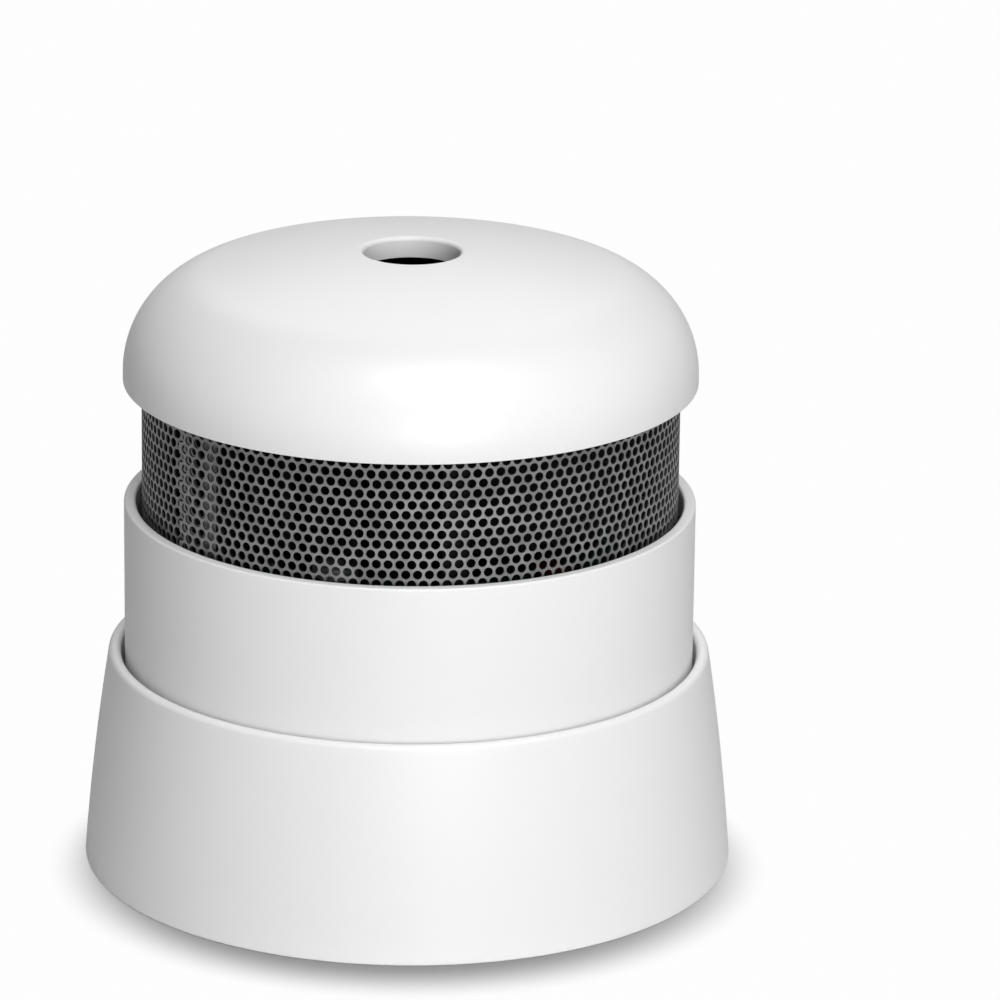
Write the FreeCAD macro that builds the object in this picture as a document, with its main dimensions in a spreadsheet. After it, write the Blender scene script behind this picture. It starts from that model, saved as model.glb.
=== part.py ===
import FreeCAD, Part
import math
import os

import Sketcher

# Small round smoke alarm, in millimetres. The underside lies at Z = 0 and the
# alarm's axis is Z. The front is the side that faces -Y.

os.makedirs("parts", exist_ok=True)
doc = FreeCAD.newDocument("smoke_alarm")
Vector = FreeCAD.Vector

# Driving sizes: name, value, what it is.
SIZES = [
    ("base_flare", "1.57", "how far the base's foot stands out beyond its rim"),
    ("base_rim_wall", "0.73", "width of the base's rim"),
    ("base_side_round", "160", "radius of the slightly bowed side of the base"),
    ("base_rim_top", "13.4", "level of the base's rim"),
    ("base_floor", "1.6", "thickness of the base's floor"),
    ("base_foot_round", "0.45", "edge round at the foot"),
    ("base_rim_round", "0.33", "edge rounds of the rim"),
    ("slot_spacing", "22", "distance between the two screw slots"),
    ("slot_width", "3.6", "width of a screw slot"),
    ("slot_length", "7", "overall length of a screw slot"),
    ("base_lug_half", "3.5", "half width of a base lug"),
    ("base_lug_height", "1.4", "height of a base lug"),
    ("stop_width", "1.2", "width of the stop at the end of a base lug"),
    ("stop_overlap", "0.3", "how far the stop is rooted under its lug"),
    ("lug_angle", "20", "turn of the first bayonet lug about the axis, degrees"),
    ("lug_bury", "0.3", "depth by which a lug is rooted in its wall"),
    ("lug_gap", "0.3", "gap between a lug and what it passes"),
    ("cup_gap", "0.27", "gap between the cup and the base's wall"),
    ("cup_wall", "0.75", "wall of the housing cup"),
    ("cup_rim_rise", "1.67", "height of the cup's rim above the circuit board"),
    ("cup_stand", "1.5", "room for screw heads under the cup"),
    ("cup_floor", "1", "thickness of the cup's floor"),
    ("waist_step", "1.13", "how far the waist steps in below the cup"),
    ("waist_clearance", "1", "gap between the base lugs and the step above"),
    ("cup_rim_round", "0.14", "edge rounds of the cup's rim"),
    ("cup_foot_round", "0.4", "edge round under the waist"),
    ("cup_lug_inset", "0.4", "gap between a cup lug and the base's wall"),
    ("cup_lug_half", "3", "half width of a cup lug"),
    ("cup_lug_height", "1.3", "height of a cup lug"),
    ("cup_lug_rise", "1.5", "height of a cup lug above the cup's underside"),
    ("boss_inset", "2", "distance of a screw from the board's edge"),
    ("boss_radius", "1.8", "radius of a screw boss"),
    ("boss_angle", "70", "turn of the first screw boss, degrees"),
    ("bore_spare", "1", "depth of the boss bore below the screw's end"),
    ("screw_radius", "0.7", "radius of a screw's shank"),
    ("screw_clearance", "0.06", "clearance of a shank in its boss"),
    ("screw_length", "6", "length of a shank below its head"),
    ("screw_head_radius", "1.4", "radius of a screw's head"),
    ("screw_head_height", "1.1", "height of a screw's head"),
    ("screw_dome", "2.4", "radius of the rounded top of a screw's head"),
    ("cell_radius", "7.8", "radius of the cell"),
    ("cell_length", "26.4", "length of the cell's can"),
    ("cell_nub_radius", "3.1", "radius of the cell's raised end"),
    ("cell_nub_length", "0.6", "height of the cell's raised end"),
    ("cell_edge_round", "0.5", "edge round of the can"),
    ("cell_clearance", "0.1", "clearance of the cell to floor and cradle"),
    ("cell_headroom", "0.5", "gap between the cell and the board above it"),
    ("cradle_place", "8.5", "distance of a cradle rib from the middle"),
    ("cradle_rib", "1", "thickness of a cradle rib"),
    ("cradle_reach", "1.7", "how far a cradle rib stands out beside the cell"),
    ("cradle_drop", "2.6", "depth of a rib's top below the cell's axis"),
    ("strip", "0.3", "thickness of a contact strip"),
    ("contact_width", "6", "width of a contact strip"),
    ("contact_foot", "1.6", "length of a contact's soldered foot"),
    ("contact_stand", "0.9", "gap between a contact strip and the cup's floor"),
    ("contact_gap", "0.16", "gap between the contacts' corners and the cup"),
    ("leaf_reach", "1.5", "reach of the negative contact's leaf"),
    ("leaf_fold", "0.9", "width of the fold at the leaf's foot"),
    ("leaf_tip", "1.6", "half height of the leaf's flat tip"),
    ("board_gap", "0.4", "gap between the board and the mesh carrier"),
    ("board_thickness", "1", "thickness of the circuit board"),
    ("board_hole", "0.9", "radius of a screw hole in the board"),
    ("board_rim", "3.6", "width of the board left free round the chamber"),
    ("chamber_floor", "0.8", "thickness of the chamber's floor"),
    ("ear_radius", "1.9", "radius of the chamber's screw ears"),
    ("vane_margin", "0.3", "distance of the vanes from the chamber's edge"),
    ("vane_depth", "2.4", "depth of the ring of vanes"),
    ("vane_bend", "1.35", "sideways offset of a vane's fold"),
    ("vane_thickness", "0.55", "thickness of a vane"),
    ("vane_bury", "0.2", "depth by which a vane is rooted in the floor"),
    ("vane_count", "30", "number of vanes"),
    ("cover_thickness", "1", "thickness of the chamber's cover"),
    ("cover_ring", "0.6", "wall of the rings under and on the cover"),
    ("cover_ring_height", "0.8", "height of the rings under and on the cover"),
    ("ring_clearance", "0.1", "clearance of a locating ring"),
    ("optic_rise", "3.5", "height of the optical axis above the chamber's floor"),
    ("optic_radius", "1.5", "radius of the two optical parts"),
    ("optic_length", "3.6", "length of an optical part behind its lens"),
    ("optic_inset", "0.2", "gap between an optical part and the vanes"),
    ("optic_flange", "1.8", "radius of an optical part's flange"),
    ("flange_length", "0.6", "thickness of the flange"),
    ("cheek", "0.8", "thickness of a cradle cheek"),
    ("cheek_clearance", "0.1", "clearance between optical part and cheek"),
    ("cheek_rise", "1.05", "height of a cheek above the optical axis"),
    ("led_angle", "150", "direction of the infrared diode, degrees"),
    ("detector_angle", "20", "direction of the photodiode, degrees"),
    ("shield_wall", "0.25", "sheet of the photodiode's shield"),
    ("shield_length", "2.6", "length of the shield"),
    ("holder_wall", "1.1", "wall of the sounder's holder"),
    ("holder_height", "4.8", "height of the sounder's holder"),
    ("holder_rise", "4.39", "height of the holder's top above the cap's edge"),
    ("holder_top", "1", "thickness of the holder's top"),
    ("holder_round", "0.3", "edge round of the holder's top"),
    ("holder_port", "1.6", "radius of the holder's own port"),
    ("ledge_drop", "2.1", "depth of the disc's ledge below the holder's top"),
    ("ledge", "1.1", "width of the ledge that the disc is glued to"),
    ("disc_thickness", "0.2", "thickness of the brass disc"),
    ("ceramic_inset", "3", "width of the brass left round the ceramic"),
    ("ceramic_thickness", "0.2", "thickness of the ceramic"),
    ("lead_radius", "0.35", "radius of an insulated lead"),
    ("lead_bend", "0.8", "bend radius of a lead"),
    ("lead_angle", "118", "direction of the leads, degrees"),
    ("lead_gap", "1.6", "distance between the two leads"),
    ("lead_rise", "1.3", "height of the leads' level run above the cover"),
    ("lead_inset", "2", "distance of the leads from the board's edge"),
    ("joint_inset", "1.3", "distance of a soldered joint from the edge it sits by"),
    ("notch_clearance", "0.3", "clearance of the leads in the holder's notch"),
    ("notch_spare", "0.5", "how far the notch runs past the holder's wall"),
    ("cap_height", "8.18", "height of the cap's crown above its edge"),
    ("cap_overhang", "0.02", "how far the cap stands out beyond the cup"),
    ("cap_side", "0.5", "height of the cap's straight side"),
    ("cap_shoulder", "6.35", "radius of the cap's shoulder"),
    ("cap_wall", "1.3", "wall of the cap"),
    ("port_radius", "2.97", "radius of the sounder port"),
    ("port_round", "0.25", "edge round of the sounder port"),
    ("mesh_rebate", "1", "depth of the cap's rebate for the mesh"),
    ("rebate_clearance", "0.08", "clearance of the mesh in its rebate"),
    ("pin_inset", "2.55", "distance of the cap's pins from its side"),
    ("pin_radius", "0.7", "radius of a pin"),
    ("pin_clearance", "0.08", "clearance of a pin in its hole"),
    ("pin_spare", "0.2", "how far a pin stands out below the carrier"),
    ("pin_angle", "10", "turn of the first pin, degrees"),
    ("mesh_gap", "0.31", "gap between the mesh and the cup"),
    ("mesh_sheet", "0.2", "thickness of the mesh strip"),
    ("mesh_show", "7.74", "height of mesh between the cup's rim and the cap"),
    ("mesh_stand", "0.3", "height of the mesh's lower edge above the board"),
    ("mesh_edge_gap", "0.05", "gap over the mesh in its rebate"),
    ("mesh_rows", "7", "rows of holes in the strip"),
    ("mesh_columns", "36", "holes in one row"),
    ("mesh_hole", "0.62", "corner radius of a hole"),
    ("mesh_margin", "0.87", "distance of the first row from the strip's lower edge"),
    ("mesh_top_margin", "1.24", "distance of the last row from the strip's upper edge"),
    ("mesh_tuck", "0.03", "gap between the layers of the lap"),
    ("lap_angle", "212.6", "direction of the strip's outer end, degrees"),
    ("lap_sweep_angle", "12", "sweep of the lap, degrees"),
    ("cage_gap", "0.57", "gap between the mesh's outside and the carrier"),
    ("cage_wall", "0.6", "wall of the carrier's lower ring"),
    ("cage_ring_height", "0.8", "height of the lower ring"),
    ("cage_top_width", "2.4", "width of the upper ring"),
    ("cage_top_height", "1", "height of the upper ring"),
    ("cage_top_rise", "0.29", "height of the upper ring above the cap's edge"),
    ("upright_half", "0.8", "half width of an upright"),
    ("upright_skin", "0.1", "how far an upright lies inside the faces of the rings"),
    ("clip_half", "1.4", "half width of a clip leg"),
    ("clip_angle", "40", "turn of the first clip leg, degrees"),
    ("clip_gap", "0.3", "gap between a clip leg and the board's edge"),
    ("clip_reach", "0.6", "how far a clip's hook reaches under the board"),
    ("clip_hook", "0.9", "height of a clip's hook"),
    ("hook_gap", "0.2", "gap between hook and board"),
    ("foot_lap", "0.7", "how far the press foot reaches past the plunger's axis"),
    ("foot_height", "1", "height of the press foot"),
    ("press_gap", "0.1", "gap between press foot and plunger"),
    ("press_travel", "0.5", "travel of the pressed head"),
    ("switch_inset", "0.2", "distance of the test switch from the board's edge"),
    ("switch_side", "3", "side of the test switch"),
    ("switch_height", "1.5", "height of the test switch"),
    ("well_spare", "0.1", "depth of the switch's well below the pressed plunger"),
    ("plunger_radius", "0.6", "radius of the switch plunger"),
    ("plunger_rise", "0.7", "height of the plunger above the switch"),
    ("plunger_depth", "0.7", "depth of the plunger in the switch"),
    ("plunger_clearance", "0.05", "clearance of the plunger"),
    ("part_gap", "0.5", "gap between the cell and the parts under the board"),
    ("chip_x", "-5", "place of the microcontroller along X"),
    ("chip_side", "4", "side of the microcontroller"),
    ("chip_height", "0.9", "height of the microcontroller"),
    ("coil_side", "3.8", "side of the boost coil"),
    ("coil_height", "2", "height of the boost coil"),
    ("can_radius", "2", "radius of the reservoir capacitor"),
    ("can_height", "5.4", "height of the reservoir capacitor"),
    ("can_round", "0.3", "edge round of the capacitor"),
    ("can_x", "2", "place of the reservoir capacitor along X"),
    ("resistor_length", "1.6", "length of a chip resistor"),
    ("resistor_width", "0.8", "width of a chip resistor"),
    ("resistor_height", "0.5", "height of a chip resistor"),
    ("resistor_pitch", "1.5", "distance between chip resistors"),
    ("resistor_x", "5.6", "place of the first chip resistor along X"),
    ("lamp_inset", "1", "distance of the indicator from the board's edge"),
    ("lamp_angle", "310", "direction of the indicator, degrees"),
    ("lamp_side", "1.6", "side of the indicator"),
    ("lamp_height", "0.7", "height of the indicator"),
]

# Places worked out from the driving sizes: name, formula.
PLACES = [
    ("cell_half", "=(Sizes.cell_length + Sizes.cell_nub_length) / 2"),
    ("cell_negative", "=-cell_half"),
    ("cell_shoulder", "=cell_half - Sizes.cell_nub_length"),
    ("leaf_back", "=-(cell_half + Sizes.leaf_reach + Sizes.strip)"),
    ("contact_corner", "=sqrt(leaf_back ^ 2 + (Sizes.contact_width / 2) ^ 2)"),
    ("waist_bore", "=contact_corner + Sizes.contact_gap"),
    ("waist_radius", "=waist_bore + Sizes.cup_wall"),
    ("cup_radius", "=waist_radius + Sizes.waist_step"),
    ("cup_bore", "=cup_radius - Sizes.cup_wall"),
    ("base_bore", "=cup_radius + Sizes.cup_gap"),
    ("base_top_radius", "=base_bore + Sizes.base_rim_wall"),
    ("base_radius", "=base_top_radius + Sizes.base_flare"),
    ("mesh_radius", "=cup_bore - Sizes.mesh_gap"),
    ("cage_radius", "=mesh_radius - Sizes.cage_gap"),
    ("cage_bore", "=cage_radius - Sizes.cage_wall"),
    ("board_radius", "=cage_bore - Sizes.board_gap"),
    ("chamber_radius", "=board_radius - Sizes.board_rim"),
    ("boss_ring", "=board_radius - Sizes.boss_inset"),
    ("cup_level", "=Sizes.base_floor + Sizes.cup_stand"),
    ("cup_floor_top", "=cup_level + Sizes.cup_floor"),
    ("cell_axis", "=cup_floor_top + Sizes.cell_clearance + Sizes.cell_radius"),
    ("board_level", "=cell_axis + Sizes.cell_radius + Sizes.cell_headroom"),
    ("board_top", "=board_level + Sizes.board_thickness"),
    ("cup_rim_top", "=board_top + Sizes.cup_rim_rise"),
    ("cap_edge", "=cup_rim_top + Sizes.mesh_show"),
    ("cap_top", "=cap_edge + Sizes.cap_height"),
    ("slot_half", "=(Sizes.slot_length - Sizes.slot_width) / 2"),
    ("slot_radius", "=Sizes.slot_width / 2"),
    ("slot_near", "=Sizes.slot_spacing / 2 - slot_half"),
    ("slot_far", "=Sizes.slot_spacing / 2 + slot_half"),
    ("slot_low", "=-slot_radius"),
    ("slot_outer_end", "=slot_far + slot_radius"),
    ("slot_inner_end", "=slot_near - slot_radius"),
    ("cup_lug_level", "=cup_level + Sizes.cup_lug_rise"),
    ("cup_lug_root", "=waist_radius - Sizes.lug_bury"),
    ("cup_lug_radius", "=base_bore - Sizes.cup_lug_inset"),
    ("cup_lug_corner", "=sqrt(cup_lug_radius ^ 2 - Sizes.cup_lug_half ^ 2)"),
    ("cup_lug_low_side", "=-Sizes.cup_lug_half"),
    ("base_lug_radius", "=waist_radius + Sizes.lug_gap"),
    ("base_lug_corner", "=sqrt(base_lug_radius ^ 2 - Sizes.base_lug_half ^ 2)"),
    ("base_lug_root", "=base_bore + Sizes.lug_bury"),
    ("base_lug_low_side", "=-Sizes.base_lug_half"),
    ("base_lug_level", "=cup_lug_level + Sizes.cup_lug_height + Sizes.lug_gap"),
    ("stop_near", "=base_lug_low_side + Sizes.stop_overlap"),
    ("stop_far", "=stop_near - Sizes.stop_width"),
    ("stop_height", "=base_lug_level + Sizes.base_lug_height - cup_lug_level"),
    ("waist_top", "=base_lug_level + Sizes.base_lug_height + Sizes.waist_clearance"),
    ("step_top", "=waist_top + Sizes.waist_step"),
    ("step_shift", "=Sizes.cup_wall * (sqrt(2) - 1)"),
    ("step_low_inside", "=waist_top + step_shift"),
    ("step_top_inside", "=step_top + step_shift"),
    ("boss_height", "=board_level - cup_level"),
    ("boss_bore", "=Sizes.screw_radius + Sizes.screw_clearance"),
    ("chamber_floor_top", "=board_top + Sizes.chamber_floor"),
    ("screw_end", "=chamber_floor_top - Sizes.screw_length"),
    ("boss_depth", "=board_level - screw_end + Sizes.bore_spare"),
    ("cradle_radius", "=Sizes.cell_radius + Sizes.cell_clearance"),
    ("cradle_half", "=Sizes.cell_radius + Sizes.cradle_reach"),
    ("cradle_low_side", "=-cradle_half"),
    ("cradle_top", "=cell_axis - Sizes.cradle_drop"),
    ("cradle_inside", "=sqrt(cradle_radius ^ 2 - Sizes.cradle_drop ^ 2)"),
    ("cradle_inside_low", "=-cradle_inside"),
    ("cradle_root", "=cup_level + Sizes.cup_floor / 2"),
    ("cradle_start", "=Sizes.cradle_place - Sizes.cradle_rib / 2"),
    ("cradle_bottom", "=cell_axis - cradle_radius"),
    ("contact_low", "=cup_floor_top + Sizes.contact_stand"),
    ("contact_outer", "=cell_half + Sizes.strip"),
    ("contact_foot_end", "=cell_half - Sizes.contact_foot"),
    ("contact_foot_low", "=board_level - Sizes.strip"),
    ("leaf_back_inner", "=leaf_back + Sizes.strip"),
    ("leaf_foot_end", "=cell_negative + Sizes.contact_foot"),
    ("leaf_fold_low", "=contact_low + Sizes.strip"),
    ("leaf_tip_back", "=cell_negative - Sizes.strip"),
    ("leaf_tip_low", "=cell_axis - Sizes.leaf_tip"),
    ("leaf_tip_high", "=cell_axis + Sizes.leaf_tip"),
    ("leaf_root", "=leaf_back + Sizes.leaf_fold"),
    ("cap_radius", "=cup_radius + Sizes.cap_overhang"),
    ("shoulder_ring", "=cap_radius - Sizes.cap_shoulder"),
    ("shoulder_level", "=cap_edge + Sizes.cap_side"),
    ("shoulder_drop", "=cap_top - shoulder_level"),
    ("crown_round", "=(shoulder_ring ^ 2 + shoulder_drop ^ 2 - Sizes.cap_shoulder ^ 2)"
                    " / (2 * (shoulder_drop - Sizes.cap_shoulder))"),
    ("crown_centre", "=cap_top - crown_round"),
    ("crown_inner_round", "=crown_round - Sizes.cap_wall"),
    ("shoulder_inner_round", "=Sizes.cap_shoulder - Sizes.cap_wall"),
    ("outer_share", "=crown_round / (crown_round - Sizes.cap_shoulder)"),
    ("inner_share", "=crown_inner_round / (crown_round - Sizes.cap_shoulder)"),
    ("blend_ring", "=shoulder_ring * outer_share"),
    ("blend_level", "=crown_centre + (shoulder_level - crown_centre) * outer_share"),
    ("blend_inner_ring", "=shoulder_ring * inner_share"),
    ("blend_inner_level", "=crown_centre + (shoulder_level - crown_centre) * inner_share"),
    ("port_top", "=crown_centre + sqrt(crown_round ^ 2 - Sizes.port_radius ^ 2)"),
    ("port_low", "=crown_centre + sqrt(crown_inner_round ^ 2 - Sizes.port_radius ^ 2)"),
    ("rebate_top", "=cap_edge + Sizes.mesh_rebate"),
    ("rebate_radius", "=mesh_radius + Sizes.rebate_clearance"),
    ("rebate_inner", "=shoulder_ring + sqrt(shoulder_inner_round ^ 2"
                     " - (rebate_top - shoulder_level) ^ 2)"),
    ("mesh_low", "=board_top + Sizes.mesh_stand"),
    ("mesh_top", "=rebate_top - Sizes.mesh_edge_gap"),
    ("mesh_height", "=mesh_top - mesh_low"),
    ("cage_ring_top", "=mesh_low + Sizes.cage_ring_height"),
    ("cage_top_level", "=cap_edge + Sizes.cage_top_rise"),
    ("cage_top_top", "=cage_top_level + Sizes.cage_top_height"),
    ("cage_top_inner", "=cage_radius - Sizes.cage_top_width"),
    ("pin_ring", "=cap_radius - Sizes.pin_inset"),
    ("pin_root", "=shoulder_level + sqrt((Sizes.cap_shoulder - Sizes.cap_wall / 2) ^ 2"
                 " - (pin_ring - shoulder_ring) ^ 2)"),
    ("pin_low", "=cage_top_level - Sizes.pin_spare"),
    ("pin_height", "=pin_root - pin_low"),
    ("pin_hole", "=Sizes.pin_radius + Sizes.pin_clearance"),
    ("upright_low_side", "=-Sizes.upright_half"),
    ("upright_inside", "=cage_bore + Sizes.upright_skin"),
    ("upright_outside", "=cage_radius - Sizes.upright_skin"),
    ("upright_root", "=mesh_low + Sizes.cage_ring_height / 2"),
    ("upright_height", "=cage_top_level + Sizes.cage_top_height / 2 - upright_root"),
    ("clip_low_side", "=-Sizes.clip_half"),
    ("clip_inner", "=board_radius + Sizes.clip_gap"),
    ("clip_hook_inner", "=board_radius - Sizes.clip_reach"),
    ("clip_outside", "=sqrt(cage_radius ^ 2 - Sizes.clip_half ^ 2) - Sizes.upright_skin"),
    ("clip_low", "=board_level - Sizes.hook_gap - Sizes.clip_hook"),
    ("clip_height", "=mesh_low + Sizes.cage_ring_height / 2 - clip_low"),
    ("holder_level", "=cap_edge + Sizes.holder_rise"),
    ("cover_top", "=holder_level - Sizes.holder_height"),
    ("chamber_top", "=cover_top - Sizes.cover_thickness"),
    ("cover_spigot_top", "=cover_top + Sizes.cover_ring_height"),
    ("cover_ring_low", "=chamber_top - Sizes.cover_ring_height"),
    ("vane_outer", "=chamber_radius - Sizes.vane_margin"),
    ("vane_inner", "=vane_outer - Sizes.vane_depth"),
    ("vane_middle", "=(vane_outer + vane_inner) / 2"),
    ("vane_side", "=-(Sizes.vane_bend + Sizes.vane_thickness) / 2"),
    ("vane_fold_side", "=vane_side + Sizes.vane_bend"),
    ("vane_back", "=vane_side + Sizes.vane_thickness"),
    ("vane_fold_back", "=vane_fold_side + Sizes.vane_thickness"),
    ("vane_root", "=chamber_floor_top - Sizes.vane_bury"),
    ("vane_height", "=chamber_top - vane_root"),
    ("cover_ring_outer", "=vane_inner - Sizes.ring_clearance"),
    ("cover_ring_inner", "=cover_ring_outer - Sizes.cover_ring"),
    ("holder_bore", "=chamber_radius - Sizes.holder_wall"),
    ("spigot_outer", "=holder_bore - Sizes.ring_clearance"),
    ("spigot_inner", "=spigot_outer - Sizes.cover_ring"),
    ("holder_ceiling", "=holder_level - Sizes.holder_top"),
    ("ledge_level", "=holder_level - Sizes.ledge_drop"),
    ("ledge_inner", "=holder_bore - Sizes.ledge"),
    ("disc_radius", "=holder_bore - Sizes.ring_clearance"),
    ("disc_low", "=ledge_level - Sizes.disc_thickness"),
    ("ceramic_radius", "=disc_radius - Sizes.ceramic_inset"),
    ("ceramic_low", "=disc_low - Sizes.ceramic_thickness"),
    ("brass_joint", "=disc_radius - Sizes.joint_inset"),
    ("ceramic_joint", "=ceramic_radius - Sizes.joint_inset"),
    ("lead_level", "=cover_top + Sizes.lead_rise"),
    ("lead_ring", "=board_radius - Sizes.lead_inset"),
    ("lead_side", "=Sizes.lead_gap / 2"),
    ("lead_side_low", "=-lead_side"),
    ("lead_drop_end", "=lead_level + Sizes.lead_bend"),
    ("brass_run_start", "=brass_joint + Sizes.lead_bend"),
    ("ceramic_run_start", "=ceramic_joint + Sizes.lead_bend"),
    ("lead_run_end", "=lead_ring - Sizes.lead_bend"),
    ("lead_fall", "=lead_level - Sizes.lead_bend"),
    ("notch_half", "=lead_side + Sizes.lead_radius + Sizes.notch_clearance"),
    ("notch_half_low", "=-notch_half"),
    ("notch_height", "=Sizes.lead_rise + Sizes.lead_radius + Sizes.notch_clearance"),
    ("notch_end", "=chamber_radius + Sizes.notch_spare"),
    ("notch_start", "=holder_bore - Sizes.notch_spare"),
    ("optic_level", "=chamber_floor_top + Sizes.optic_rise"),
    ("optic_back", "=vane_inner - Sizes.optic_inset"),
    ("optic_front", "=optic_back - Sizes.optic_length"),
    ("optic_place", "=optic_front - Sizes.optic_radius"),
    ("flange_front", "=optic_back - Sizes.flange_length"),
    ("optic_below", "=optic_level - Sizes.optic_radius - Sizes.cheek_clearance"),
    ("seat_height", "=optic_below - board_top"),
    ("cheek_inside", "=Sizes.optic_radius + Sizes.cheek_clearance + Sizes.shield_wall"),
    ("cheek_inside_low", "=-cheek_inside"),
    ("cheek_outside", "=cheek_inside + Sizes.cheek"),
    ("cheek_outside_low", "=-cheek_outside"),
    ("cheek_end", "=flange_front - Sizes.cheek_clearance"),
    ("cheek_height", "=optic_level + Sizes.cheek_rise - board_top"),
    ("shield_outer", "=Sizes.optic_radius + Sizes.shield_wall"),
    ("shield_inner_low", "=-Sizes.optic_radius"),
    ("shield_outer_low", "=-shield_outer"),
    ("shield_top_inside", "=optic_level + Sizes.optic_radius"),
    ("shield_top", "=optic_level + shield_outer"),
    ("switch_top", "=board_top + Sizes.switch_height"),
    ("switch_far", "=board_radius - Sizes.switch_inset"),
    ("switch_near", "=switch_far - Sizes.switch_side"),
    ("switch_half", "=Sizes.switch_side / 2"),
    ("switch_ring", "=switch_far - switch_half"),
    ("switch_low_side", "=-switch_half"),
    ("switch_bore", "=Sizes.plunger_radius + Sizes.plunger_clearance"),
    ("plunger_low", "=switch_top - Sizes.plunger_depth"),
    ("plunger_height", "=Sizes.plunger_rise + Sizes.plunger_depth"),
    ("well_depth", "=Sizes.plunger_depth + Sizes.press_travel + Sizes.well_spare"),
    ("foot_level", "=switch_top + Sizes.plunger_rise + Sizes.press_gap"),
    ("foot_inner", "=switch_ring - Sizes.foot_lap"),
    ("screw_head_top", "=chamber_floor_top + Sizes.screw_head_height"),
    ("screw_head_side", "=screw_head_top - Sizes.screw_dome"
                        " + sqrt(Sizes.screw_dome ^ 2 - Sizes.screw_head_radius ^ 2)"),
    ("chip_low", "=board_level - Sizes.chip_height"),
    ("chip_left", "=Sizes.chip_x - Sizes.chip_side / 2"),
    ("chip_right", "=Sizes.chip_x + Sizes.chip_side / 2"),
    ("part_front", "=Sizes.cell_radius + Sizes.part_gap"),
    ("chip_back", "=part_front + Sizes.chip_side"),
    ("coil_low", "=board_level - Sizes.coil_height"),
    ("coil_right", "=Sizes.coil_side / 2"),
    ("coil_left", "=-coil_right"),
    ("coil_back", "=part_front + Sizes.coil_side"),
    ("can_low", "=board_level - Sizes.can_height"),
    ("can_y", "=-(part_front + Sizes.can_radius)"),
    ("resistor_low", "=board_level - Sizes.resistor_height"),
    ("resistor_right", "=Sizes.resistor_x + Sizes.resistor_width"),
    ("resistor_back", "=-part_front"),
    ("resistor_front", "=resistor_back - Sizes.resistor_length"),
    ("resistor_row", "=Sizes.resistor_pitch * 2"),
    ("lamp_far", "=board_radius - Sizes.lamp_inset"),
    ("lamp_near", "=lamp_far - Sizes.lamp_side"),
    ("lamp_half", "=Sizes.lamp_side / 2"),
    ("lamp_low_side", "=-lamp_half"),
]


def fill_sheet(name, rows):
    """Write one row per value: its name, the value under an alias, a note."""
    sheet = doc.addObject("Spreadsheet::Sheet", name)
    for line, row in enumerate(rows, start=1):
        sheet.set("A%d" % line, row[0])
        sheet.set("B%d" % line, row[1])
        sheet.setAlias("B%d" % line, row[0])
        if len(row) > 2:
            sheet.set("C%d" % line, row[2])
    return sheet


sizes = fill_sheet("Sizes", SIZES)
places = fill_sheet("Places", PLACES)
doc.recompute()
SIZE_NAMES = [row[0] for row in SIZES]


def number(name):
    """Present value of a name of either sheet; "0" is the origin."""
    if name == "0":
        return 0.0
    sheet = sizes if name in SIZE_NAMES else places
    return float(sheet.get(name))


def path(name):
    """The name as an expression that points at its cell."""
    return ("Sizes." if name in SIZE_NAMES else "Places.") + name


def bind(feature, prop, name):
    """Tie a length or an angle of a feature to a named value."""
    setattr(feature, prop, number(name))
    feature.setExpression(prop, path(name))


def new_body(label):
    """An empty body whose label is the node's name."""
    body = doc.addObject("PartDesign::Body", label)
    body.Label = label
    return body


def sketch_on(body, role, level=None, turn=None, shift=None, lift=None):
    """A sketch on one of the body's own planes, raised off it and turned about the axis.

    On an upright plane, shift moves the sketch along X and lift moves it up.
    """
    plane = [item for item in body.Origin.OriginFeatures if item.Role == role][0]
    sketch = body.newObject("Sketcher::SketchObject", "sketch")
    sketch.AttachmentSupport = (plane, [""])
    sketch.MapMode = "FlatFace"
    angle = number(turn) if turn else 0.0
    height = number(level) if level else 0.0
    spin = Vector(0, 0, 1) if role == "XY_Plane" else Vector(0, 1, 0)
    across = number(shift) if shift else 0.0
    up = number(lift) if lift else 0.0
    sketch.AttachmentOffset = FreeCAD.Placement(Vector(across, up, height),
                                                FreeCAD.Rotation(spin, angle))
    if shift:
        sketch.setExpression("AttachmentOffset.Base.x", path(shift) + " * 1 mm")
    if lift:
        sketch.setExpression("AttachmentOffset.Base.y", path(lift) + " * 1 mm")
    if level:
        sketch.setExpression("AttachmentOffset.Base.z", path(level) + " * 1 mm")
    if turn:
        sketch.setExpression("AttachmentOffset.Rotation.Angle", path(turn) + " * 1 deg")
    return sketch


def hold(sketch, kind, where, name):
    """Constrain one coordinate or radius to a named value."""
    index = sketch.addConstraint(Sketcher.Constraint(kind, *where, number(name)))
    if name != "0":
        sketch.setExpression("Constraints[%d]" % index, path(name))


def arc_between(start, end, radius, side):
    """The short arc from start to end; side +1 bulges to the right of the way, -1 left."""
    chord = end - start
    right = Vector(chord.y, -chord.x, 0).normalize()
    rise = radius - math.sqrt(max(radius ** 2 - chord.Length ** 2 / 4, 0.0))
    return Part.Arc(start, (start + end) * 0.5 + right * rise * side, end)


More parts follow.
